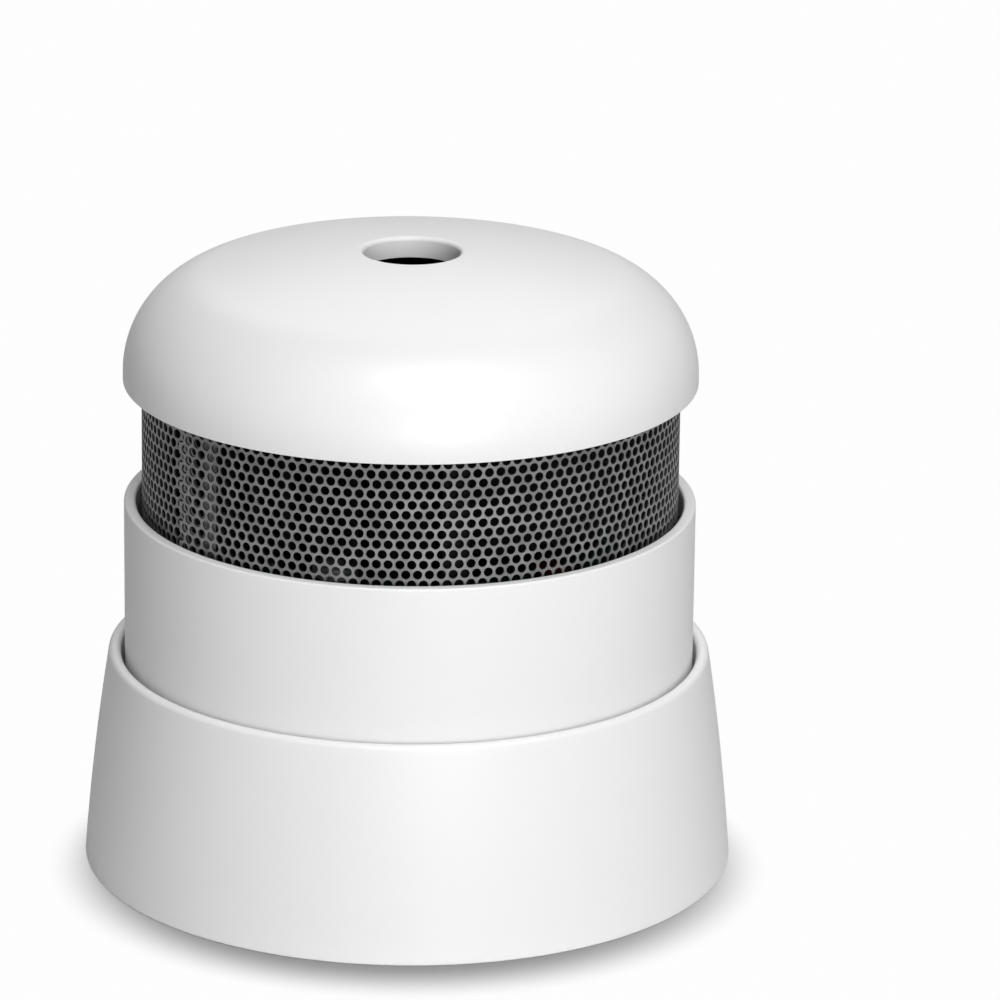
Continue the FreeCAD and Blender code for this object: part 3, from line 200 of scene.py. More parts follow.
def lathe(line: np.ndarray, steps: int = TURN_STEPS) -> Surface:
    """Turn a line round the axis: x = r cos a, y = r sin a, z = z.

    Args:
        line: closed line of (radius, height) points; points on the axis become poles.
        steps: number of stretches round the axis.

    Returns:
        A closed surface facing outwards.
    """
    rows = len(line)
    angles = np.linspace(0, 2 * math.pi, steps, endpoint=False)
    radius, height = line[:, :1], line[:, 1:]
    points = np.stack([radius * np.cos(angles), radius * np.sin(angles),
                       height + 0 * angles], axis=-1).reshape(-1, 3)
    row, column = np.meshgrid(np.arange(rows), np.arange(steps), indexing="ij")
    after, beside = (row + 1) % rows, (column + 1) % steps
    faces = np.stack([row * steps + column, row * steps + beside,
                      after * steps + beside, after * steps + column], axis=-1).reshape(-1, 4)
    poles = line[:, 0] < ON_AXIS
    own = np.arange(rows * steps)
    start = own - own % steps
    faces = np.where(np.repeat(poles, steps)[faces], start[faces], faces)
    both = poles[row.ravel()] & poles[after.ravel()]
    return compact(points, faces[~both]).outward()


def ladder(count: int, closed: bool = False) -> np.ndarray:
    """Quads between two lines of count points each, numbered one line after the other."""
    side = np.arange(count if closed else count - 1)
    after = (side + 1) % count
    return np.stack([side, after, after + count, side + count], axis=1)


def prism(outline: np.ndarray, low: float, high: float) -> Surface:
    """A flat outline raised between two levels.

    Args:
        outline: closed line of (x, y) points.
        low: level of the bottom.
        high: level of the top.

    Returns:
        A closed surface facing outwards.
    """
    count = len(outline)
    levels = np.repeat([low, high], count)
    points = np.column_stack([np.tile(outline, (2, 1)), levels])
    caps = [list(range(count))[::-1], list(range(count, 2 * count))]
    return Surface(points, ladder(count, closed=True).tolist() + caps).outward()


def turned(form: Surface, degrees: float) -> Surface:
    """The form turned about the alarm's axis."""
    cosine, sine = math.cos(math.radians(degrees)), math.sin(math.radians(degrees))
    spin = np.array([[cosine, sine, 0], [-sine, cosine, 0], [0, 0, 1]])
    return Surface(form.points @ spin, form.faces)


def spread(form: Surface, turns: Iterable[float]) -> Surface:
    """Copies of the form, one turned by each of the given degrees."""
    first, *others = turns
    made = turned(form, first)
    for turn in others:
        made = made + turned(form, turn)
    return made


def around(form: Surface, count: int, first: float = 0.0) -> Surface:
    """The form repeated evenly round the axis, the first copy turned by first degrees."""
    return spread(form, [first + 360 * k / count for k in range(count)])


def disc_line(centre: float, radius: float, steps: int = 48) -> np.ndarray:
    """A circle about (centre, 0) as a closed line of (x, y) points."""
    return polar(radius, np.linspace(0, 2 * math.pi, steps, endpoint=False)) + (centre, 0)


def ramp(value: np.ndarray, start: float, reach: float) -> np.ndarray:
    """Smooth step 3 t^2 - 2 t^3 with t = (value - start) / reach held from 0 to 1."""
    share = np.clip((value - start) / reach, 0, 1)
    return share * share * (3 - 2 * share)


def sector(inner: float, outer: float, low: float, high: float, steps: int = 10) -> np.ndarray:
    """A lug's outline: y runs from low to high between two circles, x = sqrt(radius^2 - y^2)."""
    side = np.linspace(low, high, steps)
    far, near = (np.stack([np.sqrt(radius ** 2 - side ** 2), side], axis=1)
                 for radius in (outer, inner))
    return np.concatenate([far, near[::-1]])


class Way(Enum):
    """How a tool form changes a piece."""

    ADD = "UNION"
    CUT = "DIFFERENCE"


def combine(piece: bpy.types.Object, tool_form: Surface, way: Way) -> None:
    """Add a form to a piece or cut it out, and keep the result as the piece's own mesh.

    Args:
        piece: the piece to change.
        tool_form: closed form, or several that lie apart.
        way: ADD or CUT.
    """
    tool = tool_form.to_object("tool")
    change = piece.modifiers.new("change", "BOOLEAN")
    change.operation = way.value
    change.solver = "EXACT"
    change.object = tool
    graph = bpy.context.evaluated_depsgraph_get()
    shaped = bpy.data.meshes.new_from_object(piece.evaluated_get(graph))
    piece.modifiers.clear()
    old, tool_mesh = piece.data, tool.data
    shaped.name = piece.name
    piece.data = shaped
    bpy.data.objects.remove(tool)
    bpy.data.meshes.remove(tool_mesh)
    bpy.data.meshes.remove(old)
    shaped.shade_smooth()
    shaped.set_sharp_from_angle(angle=SHARP_ANGLE)


# Shader building

def opaque(value: "tuple | Shade | float") -> "tuple | Shade | float":
    """A colour triple with its alpha of 1; any other value as it is."""
    return (*value, 1.0) if isinstance(value, tuple) else value


def operator(operation: str, swapped: bool = False) -> Callable:
    """A method that adds a Math node; swapped puts the other value first, as in 1 - mask."""
    def act(self: "Shade", other: "Shade | float") -> "Shade":
        """The operation on both values, in their written order."""
        return self.compute(operation, *((other, self) if swapped else (self, other)))
    return act


class Shade:
    """One output socket with arithmetic; each operator adds a Math node."""

    __add__, __radd__ = operator("ADD"), operator("ADD", swapped=True)
    __sub__, __rsub__ = operator("SUBTRACT"), operator("SUBTRACT", swapped=True)
    __mul__, __rmul__ = operator("MULTIPLY"), operator("MULTIPLY", swapped=True)
    __truediv__ = operator("DIVIDE")
    power = operator("POWER")
    above = operator("GREATER_THAN")

    def __init__(self, bench: "Bench", socket: bpy.types.NodeSocket) -> None:
        """Keep the socket and the bench that it belongs to."""
        self.bench = bench
        self.socket = socket

    def compute(self, operation: str, *values: "Shade | float") -> "Shade":
        """One Math node on the given values, in order."""
        inputs = dict(enumerate(values))
        return self.bench.node("ShaderNodeMath", inputs, operation=operation).out("Value")

    def sine(self) -> "Shade":
        """Sine of the value in radians."""
        return self.compute("SINE", self)

    def smooth(self, low: float, high: float) -> "Shade":
        """Smooth step from 0 at low to 1 at high."""
        limits = {"Value": self, "From Min": low, "From Max": high}
        step = self.bench.node("ShaderNodeMapRange", limits, interpolation_type="SMOOTHSTEP")
        return step.out("Result")


class Step:
    """One node, whose outputs are read as Shades."""

    def __init__(self, bench: "Bench", node: bpy.types.Node) -> None:
        """Keep the node and its bench."""
        self.bench = bench
        self.node = node

    def out(self, name: str | int) -> Shade:
        """The named output."""
        return Shade(self.bench, self.node.outputs[name])


class Bench:
    """The node tree of one material, emptied and ready to be filled."""

    def __init__(self, tree: bpy.types.NodeTree) -> None:
        """Empty the tree and add its object coordinates."""
        tree.nodes.clear()
        self.tree = tree
        self.place = self.node("ShaderNodeTexCoord").out("Object")

    def node(self, kind: str, inputs: dict | None = None, **settings: str) -> Step:
        """Add a node.

        Args:
            kind: the node's type.
            inputs: value or Shade of each named input.
            settings: the node's properties, set first.

        Returns:
            The new node.
        """
        made = self.tree.nodes.new(kind)
        for key, value in settings.items():
            setattr(made, key, value)
        for key, value in (inputs or {}).items():
            if isinstance(value, Shade):
                self.tree.links.new(value.socket, made.inputs[key])
            else:
                made.inputs[key].default_value = value
        return Step(self, made)

    def noise(self, grain: float, detail: float = 3.0, stretch: tuple | None = None) -> Shade:
        """Noise from 0 to 1 in lumps grain metres wide; a stretch below 1 draws them out."""
        place = self.place
        if stretch:
            mapping = self.node("ShaderNodeMapping", {"Vector": place, "Scale": stretch})
            place = mapping.out("Vector")
        inputs = {"Vector": place, "Scale": 1 / grain, "Detail": detail}
        return self.node("ShaderNodeTexNoise", inputs).out("Fac")

    def axes(self, vector: Shade | None = None) -> tuple[Shade, Shade]:
        """X and Y of the vector, or of the place on the piece."""
        split = self.node("ShaderNodeSeparateXYZ", {"Vector": vector or self.place})
        return split.out("X"), split.out("Y")

    def blend(self, factor: Shade, low: "tuple | Shade", high: "tuple | Shade") -> Shade:
        """Colour from low to high by factor."""
        inputs = {MIX_FACTOR: factor, MIX_LOW: opaque(low), MIX_HIGH: opaque(high)}
        return self.node("ShaderNodeMix", inputs, data_type="RGBA").out(MIX_COLOUR)

    def bump(self, height: Shade, depth: float, under: Shade | None = None) -> Shade:
        """A normal from a height of 0 to 1 that stands for depth metres."""
        inputs = {"Height": height, "Distance": depth, "Strength": 1.0}
        if under:
            inputs["Normal"] = under
        return self.node("ShaderNodeBump", inputs).out("Normal")

    def surface(self, **inputs: "Shade | float | tuple") -> None:
        """Close the tree with a Principled shader; names use _ for the spaces of its sockets."""
        named = {key.replace("_", " "): opaque(value) for key, value in inputs.items()}
        shader = self.node("ShaderNodeBsdfPrincipled", named)
        self.node("ShaderNodeOutputMaterial", {"Surface": shader.out("BSDF")})


@dataclass(frozen=True)
class Finish:
    """A material with a name; each kind of finish draws its own nodes."""

    name: str

    def draw(self, bench: Bench) -> None:
        """Fill the bench with the finish's nodes."""
        raise NotImplementedError

    def material(self) -> bpy.types.Material:
        """The finish's material, made once."""
        made = bpy.data.materials.get(self.name)
        if made is None:
            made = bpy.data.materials.new(self.name)
            made.use_nodes = True
            self.draw(Bench(made.node_tree))
        return made


@dataclass(frozen=True)
class SatinMoulding(Finish):
    """Moulded plastic: even colour, fine eroded grain, faintly uneven gloss."""

    colour: tuple = (0.8,) * 3
    roughness: float = 0.4
    grain: float = 0.16 * MM
    grain_depth: float = 0.0012 * MM
    drift: float = 0.012
    gloss: float = 0.5
    drift_size: float = 9 * MM
    patch_size: float = 2.2 * MM
    patchiness: float = 0.06
    wave_size: float = 2.6 * MM
    wave_depth: float = 0.003 * MM

    def draw(self, bench: Bench) -> None:
        """Grain bump, broad drift of tone, patchy roughness."""
        broad = bench.noise(self.drift_size, 2.0)
        shade = tuple(channel * (1 - self.drift) for channel in self.colour)
        light = tuple(min(1.0, channel * (1 + self.drift)) for channel in self.colour)
        patchy = bench.noise(self.patch_size, 4.0)
        waves = bench.bump(bench.noise(self.wave_size, 1.0), self.wave_depth)
        bench.surface(Base_Color=bench.blend(broad, shade, light),
                      Roughness=patchy * self.patchiness + (self.roughness - self.patchiness / 2),
                      Specular_IOR_Level=self.gloss,
                      Normal=bench.bump(bench.noise(self.grain, 5.0), self.grain_depth, waves))


@dataclass(frozen=True)
class PerforatedSteel(Finish):
    """Thin steel sheet: softly mottled grey with fine rolling lines; painted shade darkens the hole
    walls and makes the inner side black.
    """

    dark: tuple = (0.165,) * 3
    light: tuple = (0.29,) * 3
    # edge: painted shade on the punched walls of the holes
    edge: tuple = (0.045,) * 3
    # black: painted shade over the whole inner side of the sheet, where the alarm's inside lies in
    # shade
    black: tuple = (0.006,) * 3
    metallic: float = 0.45
    roughness: float = 0.36
    mottle_size: float = 1.5 * MM
    mottle_depth: float = 0.006 * MM
    line_size: float = 0.12 * MM
    line_depth: float = 0.002 * MM
    line_stretch: tuple = (1.0, 1.0, 0.12)
    line_share: float = 0.25
    wall_shade_span: tuple = (0.3, 0.7)
    inner_shade_span: tuple = (-0.8, -0.5)

    def draw(self, bench: Bench) -> None:
        """Mottles over a millimetre wide, rolling lines along the height.

        The share of the normal that points away from the axis tells the inner side, the punched
        walls of the holes and the outer side apart.
        """
        mottle = bench.noise(self.mottle_size, 4.0).smooth(0.3, 0.7)
        lines = bench.noise(self.line_size, stretch=self.line_stretch)
        x, y = bench.axes()
        across, ahead = bench.axes(bench.node("ShaderNodeTexCoord").out("Normal"))
        outward = (x * across + y * ahead) / (x * x + y * y).power(0.5)
        tone = mottle * (1 - self.line_share) + lines * self.line_share
        grey = bench.blend(tone, self.dark, self.light)
        # painted shade: the hole walls, between the inner and the outer side, take the dark edge
        # colour
        sides = bench.blend(outward.smooth(*self.wall_shade_span), self.edge, grey)
        mottles = bench.bump(mottle, self.mottle_depth)
        # painted shade: the inner side, picked out by the normal, turns black
        bench.surface(Base_Color=bench.blend(outward.smooth(*self.inner_shade_span), self.black, sides),
                      Metallic=self.metallic, Roughness=mottle * 0.12 + self.roughness,
                      Normal=bench.bump(lines, self.line_depth, mottles))


@dataclass(frozen=True)
class BrushedMetal(Finish):
    """Plated or rolled metal with fine drawn lines and slight tarnish."""

    colour: tuple = (0.7, 0.7, 0.68)
    tarnish: tuple = (0.5, 0.5, 0.48)
    roughness: float = 0.3
    stretch: tuple = (0.08, 1.0, 1.0)
    line_size: float = 0.15 * MM
    line_depth: float = 0.0015 * MM
    line_matt: float = 0.16
    stain_size: float = 3 * MM
    stain_matt: float = 0.15

    def draw(self, bench: Bench) -> None:
        """Lines stretched along one axis over a broad tarnish."""
        lines = bench.noise(self.line_size, 4.0, self.stretch)
        stain = bench.noise(self.stain_size, 5.0).smooth(0.45, 0.8)
        matt = lines * self.line_matt + stain * self.stain_matt
        bench.surface(Base_Color=bench.blend(stain * 0.5, self.colour, self.tarnish), Metallic=1.0,
                      Roughness=matt + (self.roughness - self.line_matt / 2),
                      Normal=bench.bump(lines, self.line_depth))


@dataclass(frozen=True)
class BoardLaminate(Finish):
    """Circuit board: solder resist over winding copper tracks, with a few plated vias."""

    resist: tuple = (0.004, 0.022, 0.012)
    over_copper: tuple = (0.008, 0.042, 0.021)
    pad: tuple = (0.55, 0.5, 0.42)
    track_size: float = 6 * MM
    track_waves: float = 46.0
    track_depth: float = 0.02 * MM
    via_pitch: float = 1.27 * MM
    via_limit: float = 0.975

    def draw(self, bench: Bench) -> None:
        """Bands of sin(waves * noise) make tracks; peaks of sin(x) * sin(y) make the vias."""
        x, y = bench.axes()
        bands = (bench.noise(self.track_size, 0.0) * self.track_waves).sine().above(0.35)
        beat = math.pi / self.via_pitch
        dots = ((x * beat).sine() * (y * beat).sine()).above(self.via_limit)
        vias = dots * bench.noise(4 * MM, 1.0).above(0.55)
        colour = bench.blend(bands, self.resist, self.over_copper)
        bench.surface(Base_Color=bench.blend(vias, colour, self.pad), Roughness=0.34 - vias * 0.1,
                      Normal=bench.bump(bands, self.track_depth))


@dataclass(frozen=True)
class CellSleeve(Finish):
    """Battery can: shrink sleeve round the middle, bare plated steel at both ends."""

    sleeve: tuple = (0.05, 0.07, 0.16)
    steel: tuple = (0.62, 0.62, 0.6)
    half_sleeve: float = 12.7 * MM
    fade: float = 0.05 * MM
    crease_size: float = 0.4 * MM
    crease_depth: float = 0.004 * MM
    coat: float = 0.4

    def draw(self, bench: Bench) -> None:
        """The sleeve ends where the distance along the can passes half_sleeve."""
        x, _ = bench.axes()
        end = (x * x).smooth((self.half_sleeve - self.fade) ** 2, self.half_sleeve ** 2)
        crease = bench.noise(self.crease_size, stretch=(0.3, 1.0, 1.0))
        bench.surface(Base_Color=bench.blend(end, self.sleeve, self.steel), Metallic=end * 0.95,
                      Roughness=0.32 - end * 0.06 + crease * 0.08,
                      Coat_Weight=self.coat - end * self.coat,
                      Normal=bench.bump(crease, self.crease_depth))


@dataclass(frozen=True)
class ClearResin(Finish):
    """Cast resin of an optical part or lamp: smooth, glossy, faintly cloudy."""

    colour: tuple = (0.02, 0.02, 0.025)
    cloud: tuple = (0.04, 0.035, 0.05)
    cloud_size: float = 0.9 * MM
    wave_size: float = 0.5 * MM
    wave_depth: float = 0.001 * MM

    def draw(self, bench: Bench) -> None:
        """Cloudy tone under an even gloss."""
        cloud = bench.noise(self.cloud_size)
        waves = bench.bump(bench.noise(self.wave_size, 1.0), self.wave_depth)
        bench.surface(Base_Color=bench.blend(cloud, self.colour, self.cloud),
                      Roughness=cloud * 0.06 + 0.08, Coat_Weight=0.6, Normal=waves)


@dataclass(frozen=True)
class FiredCeramic(Finish):
    """Sounder ceramic: matt off-white with a thin silvered face and specks."""

    body: tuple = (0.62, 0.58, 0.5)
    silver: tuple = (0.72, 0.72, 0.7)
    speck: tuple = (0.3, 0.28, 0.25)
    speck_size: float = 0.12 * MM
    speck_depth: float = 0.003 * MM
    patch_size: float = 1.6 * MM

    def draw(self, bench: Bench) -> None:
        """Specks in the body, silvering that thins out in patches."""
        patch = bench.noise(self.patch_size, 5.0).smooth(0.3, 0.55)
        specks = bench.noise(self.speck_size, 2.0).above(0.68)
        colour = bench.blend(patch, self.body, self.silver)
        bench.surface(Base_Color=bench.blend(specks * 0.4, colour, self.speck),
                      Metallic=patch * 0.6, Roughness=0.6 - patch * 0.2,
                      Normal=bench.bump(specks, self.speck_depth))


FINISHES = {
    "white_plastic": SatinMoulding("white moulding"),
    "black_plastic": SatinMoulding(
        "black moulding", (0.005, 0.005, 0.0055), 0.7, 0.2 * MM, 0.004 * MM, 0.1, 0.1),
    "mesh_steel": PerforatedSteel("perforated steel"),
    "cell_sleeve": CellSleeve("cell sleeve"),
    "contact_metal": BrushedMetal(
        "nickel strip", (0.66, 0.63, 0.57), (0.5, 0.46, 0.4), 0.3, (1.0, 1.0, 0.08)),
    "board_green": BoardLaminate("board laminate"),
    "screw_steel": BrushedMetal(
        "zinc plated steel", (0.6, 0.62, 0.66), (0.45, 0.47, 0.52), 0.34, (1.0, 1.0, 0.2)),
    "dark_resin": ClearResin("dark resin"),
    "chip_black": SatinMoulding(
        "chip moulding", (0.022, 0.022, 0.023), 0.55, 0.1 * MM, 0.006 * MM, 0.08),
    "can_aluminium": BrushedMetal(
        "can aluminium", (0.78, 0.78, 0.8), (0.62, 0.62, 0.64), 0.28, (1.0, 1.0, 0.05)),
    "red_resin": ClearResin("red resin", (0.045, 0.006, 0.005), (0.08, 0.012, 0.01)),
    "sounder_brass": BrushedMetal(
        "brass disc", (0.72, 0.5, 0.2), (0.45, 0.28, 0.1), 0.3, (1.0, 0.1, 1.0)),
    "ceramic_white": FiredCeramic("fired ceramic"),
    "lead_red": SatinMoulding(
        "red insulation", (0.42, 0.015, 0.012), 0.45, 0.3 * MM, 0.003 * MM, 0.06),
    "lead_black": SatinMoulding(
        "black insulation", (0.02, 0.02, 0.02), 0.45, 0.3 * MM, 0.003 * MM, 0.06),
}


# The alarm's sub-assemblies

def dress(piece: bpy.types.Object, slot: str) -> None:
    """Give a piece the finish of its material slot and no other."""
    piece.data.materials.clear()
    piece.data.materials.append(FINISHES[slot].material())


def fit(piece: bpy.types.Object, body: str, slot: str, *nodes: str) -> None:
    """Dress a new piece and tie it to the frame.

    Args:
        piece: the finished piece.
        body: CAD body that it rides on.
        slot: the record's material slot.
        nodes: CAD nodes that it stands for.
    """
    dress(piece, slot)
    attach(piece, body)
    if nodes:
        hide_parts(*nodes)
    LOG.info("%s: %d faces on %s", piece.name, len(piece.data.polygons), body)


@dataclass
class MountingBase:
    """Dish that is screwed to the ceiling: bowed wall, two screw slots, three bayonet lugs."""

    floor: float = 1.6 * MM
    rim_inset: float = 1.57 * MM
    rim_wall: float = 0.73 * MM
    side_round: float = 160 * MM
    foot_round: float = 0.12 * MM
    rim_round: float = 0.33 * MM
    slot_spacing: float = 22 * MM
    slot_width: float = 3.6 * MM
    slot_length: float = 7 * MM
    lug_reach: float = 1.1 * MM
    lug_half: float = 3.5 * MM
    lug_low: float = 6.2 * MM
    lug_height: float = 1.4 * MM
    stop_low: float = 4.6 * MM
    stop_width: float = 1.2 * MM
    stop_lap: float = 0.3 * MM
    side_steps: int = 28
    slot_points: int = 17

    def line(self) -> np.ndarray:
        """Section of the dish: floor, bowed wall as one arc, rounded rim, bore."""
        _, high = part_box("mounting_base")
        foot, rim = high.x, high.z
        top = foot - self.rim_inset
        bore = top - self.rim_wall
        wall = bow((foot, 0), (top, rim), self.side_round, 1, self.side_steps)
        corners = [(bore, rim), (bore, self.floor), (0, self.floor)]
        line = np.concatenate([[(0, 0)], wall, corners])
        line = soften(line, self.foot_round, (foot, 0))
        return soften(line, self.rim_round, (top, rim), (bore, rim))

    def slots(self) -> Surface:
        """Two stadium-shaped slots through the floor, their long axis along X."""
        half, radius = (self.slot_length - self.slot_width) / 2, self.slot_width / 2
        angles = np.linspace(-math.pi / 2, math.pi / 2, self.slot_points)
        right = polar(radius, angles) + (half, 0)
        outline = np.concatenate([right, -right]) + (self.slot_spacing / 2, 0)
        return around(prism(outline, -self.floor, 2 * self.floor), PAIR)

    def lugs(self) -> tuple[Surface, Surface]:
        """The lugs inside the bore, and the stops, one below an end of each lug."""
        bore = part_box("mounting_base")[1].x - self.rim_inset - self.rim_wall
        outline = sector(bore - self.lug_reach, bore + ROOT, -self.lug_half, self.lug_half)
        lug = prism(outline, self.lug_low, self.lug_low + self.lug_height)
        near = -self.lug_half + self.stop_lap
        foot = sector(bore - self.lug_reach, bore + ROOT, near - self.stop_width, near)
        stop = prism(foot, self.stop_low, self.lug_low + self.lug_height / 2)
        return tuple(around(form, BAYONET_LUGS, BAYONET_TURN) for form in (lug, stop))

    def build(self) -> None:
        """Turn the dish, cut the slots and add the lugs."""
        piece = lathe(self.line()).to_object("base_shell")
        combine(piece, self.slots(), Way.CUT)
        for form in self.lugs():
            combine(piece, form, Way.ADD)
        fit(piece, "base", "white_plastic", "mounting_base")


@dataclass
class HousingCup:
    """Cup that holds the cell and the board: stepped waist, lugs, screw bosses, cell cradle."""

    wall: float = 0.75 * MM
    floor: float = 1.0 * MM
    step: float = 1.13 * MM
    waist_top: float = 8.6 * MM
    rim_round: float = 0.14 * MM
    bore_round: float = 0.2 * MM
    foot_round: float = 0.4 * MM
    lug_radius: float = 17.5 * MM
    lug_half: float = 3.0 * MM
    lug_low: float = 4.6 * MM
    lug_height: float = 1.3 * MM
    boss_ring: float = 13.0 * MM
    boss_radius: float = 1.8 * MM
    bore_radius: float = 0.76 * MM
    bore_depth: float = 5.2 * MM
    boss_turn: float = 70.0
    rib_place: float = 8.5 * MM
    rib_thickness: float = 1.0 * MM
    rib_half: float = 9.5 * MM
    rib_drop: float = 2.6 * MM
    seat_radius: float = 7.9 * MM
    cell_axis: float = 12.0 * MM
    seat_steps: int = 24

    def line(self) -> np.ndarray:
        """Section of the cup: floor, waist, slanted step, straight wall with a rounded rim."""
        low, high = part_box("housing_cup")
        outer, base, rim = high.x, low.z, high.z
        waist, shift = outer - self.step, self.wall * (math.sqrt(2) - 1)
        bore, well = outer - self.wall, waist - self.wall
        line = np.array([(0, base), (waist, base), (waist, self.waist_top),
                         (outer, self.waist_top + self.step), (outer, rim), (bore, rim),
                         (bore, self.waist_top + self.step + shift), (well, self.waist_top + shift),
                         (well, base + self.floor), (0, base + self.floor)])
        line = soften(line, self.foot_round, (waist, base))
        line = soften(line, self.rim_round, (outer, rim))
        return soften(line, self.bore_round, (bore, rim))

    def cradle(self) -> Surface:
        """Two ribs across the cup whose top follows the cell as a circle."""
        inside = math.sqrt(self.seat_radius ** 2 - self.rib_drop ** 2)
        top, low = self.cell_axis - self.rib_drop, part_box("housing_cup")[0].z + self.floor / 2
        seat = bow((inside, top), (-inside, top), self.seat_radius, -1, self.seat_steps)
        corners = [(-self.rib_half, low), (self.rib_half, low), (self.rib_half, top)]
        side = np.concatenate([corners, seat, [(-self.rib_half, top)]])
        half = self.rib_thickness / 2
        form = prism(side, self.rib_place - half, self.rib_place + half)
        return around(Surface(form.points[:, [2, 0, 1]], form.faces).outward(), PAIR)

    def build(self) -> None:
        """Turn the cup and add what is moulded on it."""
        low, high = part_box("housing_cup")
        bottom, waist = low.z + self.floor / 2, high.x - self.step
        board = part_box("circuit_board")[0].z
        piece = lathe(self.line()).to_object("cup_shell")
        lug = prism(sector(waist - ROOT, self.lug_radius, -self.lug_half, self.lug_half),
                    self.lug_low, self.lug_low + self.lug_height)
        boss = prism(disc_line(self.boss_ring, self.boss_radius), bottom, board)
        bore = prism(disc_line(self.boss_ring, self.bore_radius), board - self.bore_depth,
                     board + self.floor)
        combine(piece, around(lug, BAYONET_LUGS, BAYONET_TURN), Way.ADD)
        combine(piece, around(boss, PAIR, self.boss_turn), Way.ADD)
        combine(piece, around(bore, PAIR, self.boss_turn), Way.CUT)
        combine(piece, self.cradle(), Way.ADD)
        fit(piece, "housing", "white_plastic", "housing_cup")


@dataclass
class DomeCap:
    """Domed cap: crown arc and shoulder arc with an even wall, rebate for the mesh, three pins."""

    side: float = 0.5 * MM
    shoulder: float = 6.35 * MM
    wall: float = 1.3 * MM
    crown_height: float = 8.18 * MM
    port_radius: float = 2.97 * MM
    port_round: float = 0.25 * MM
    rebate_radius: float = 16.65 * MM
    rebate_depth: float = 1.0 * MM
    edge_round: float = 0.04 * MM
    pin_ring: float = 15.1 * MM
    pin_radius: float = 0.7 * MM
    pin_low: float = 30.8 * MM
    pin_turn: float = 10.0
    pin_count: int = 3
    crown_steps: int = 26
    shoulder_steps: int = 34
    inner_crown_steps: int = 16
    inner_shoulder_steps: int = 22

    def line(self) -> np.ndarray:
        """Section of the wall.

        The crown is an arc about a point on the axis; the shoulder touches it from inside, so the
        line through both centres gives the blend. The inner face is the outer one moved in by wall.
        """
        low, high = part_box("dome_cap")
        outer, edge = high.x, low.z
        ring, level = outer - self.shoulder, edge + self.side
        drop = self.crown_height - self.side
        crown = (ring ** 2 + drop ** 2 - self.shoulder ** 2) / (2 * (drop - self.shoulder))
        centre = edge + self.crown_height - crown
        crown_in = crown - self.wall
        share = crown / (crown - self.shoulder)
        share_in = crown_in / (crown - self.shoulder)
        blend = (ring * share, centre + (level - centre) * share)
        blend_in = (ring * share_in, centre + (level - centre) * share_in)
        port = (self.port_radius, centre + math.sqrt(crown ** 2 - self.port_radius ** 2))
        port_in = (self.port_radius, centre + math.sqrt(crown_in ** 2 - self.port_radius ** 2))
        rebate = edge + self.rebate_depth
        inner_round = self.shoulder - self.wall
        inner = (ring + math.sqrt(inner_round ** 2 - (rebate - level) ** 2), rebate)
        line = np.concatenate([
            bow(port, blend, crown, -1, self.crown_steps),
            bow(blend, (outer, level), self.shoulder, -1, self.shoulder_steps)[1:],
            [(outer, edge), (self.rebate_radius, edge), (self.rebate_radius, rebate)],
            bow(inner, blend_in, inner_round, 1, self.inner_shoulder_steps),
            bow(blend_in, port_in, crown_in, 1, self.inner_crown_steps)[1:]])
        line = soften(line, self.port_round, port)
        return soften(line, self.edge_round, (outer, edge))

    def build(self) -> None:
        """Turn the cap and add its pins, rooted in the middle of the wall."""
        low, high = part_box("dome_cap")
        ring = high.x - self.shoulder
        middle = self.shoulder - self.wall / 2
        root = low.z + self.side + math.sqrt(middle ** 2 - (self.pin_ring - ring) ** 2)
        piece = lathe(self.line()).to_object("cap_shell")
        pin = prism(disc_line(self.pin_ring, self.pin_radius), self.pin_low, root)
        combine(piece, around(pin, self.pin_count, self.pin_turn), Way.ADD)
        fit(piece, "head", "white_plastic", "dome_cap")


def lattice(across: Sequence[float], up: Sequence[float]) -> np.ndarray:
    """Every (u, v) of the given values, row by row."""
    return np.stack(np.meshgrid(across, up), axis=-1).reshape(-1, 2)


@dataclass
class Sheet:
    """A flat strip put together from tiles: points (u, v) and blocks of faces."""

    points: np.ndarray = field(default_factory=lambda: np.empty((0, 2)))
    blocks: list[np.ndarray] = field(default_factory=list)

    def lay(self, places: np.ndarray, tile: np.ndarray, faces: np.ndarray) -> None:
        """Lay a copy of a tile at each place.

        Args:
            places: (u, v) of the copies.
            tile: the tile's points.
            faces: the tile's faces, one row each.
        """
        first = len(self.points) + len(tile) * np.arange(len(places))[:, None, None]
        self.blocks.append((first + faces).reshape(-1, faces.shape[1]))
        self.points = np.concatenate([self.points, (places[:, None] + tile).reshape(-1, 2)])

    def fill(self, places: np.ndarray, outline: np.ndarray) -> None:
        """Lay one face with the given outline at each place."""
        self.lay(places, outline, np.arange(len(outline))[None])

    def welded(self, grain: float) -> tuple[np.ndarray, list[np.ndarray]]:
        """Points and blocks after points that agree to within grain are made one."""
        steps = np.round(self.points / grain).astype(np.int64)
        _, first, places = np.unique(steps, axis=0, return_index=True, return_inverse=True)
        return self.points[first], [places.ravel()[block] for block in self.blocks]


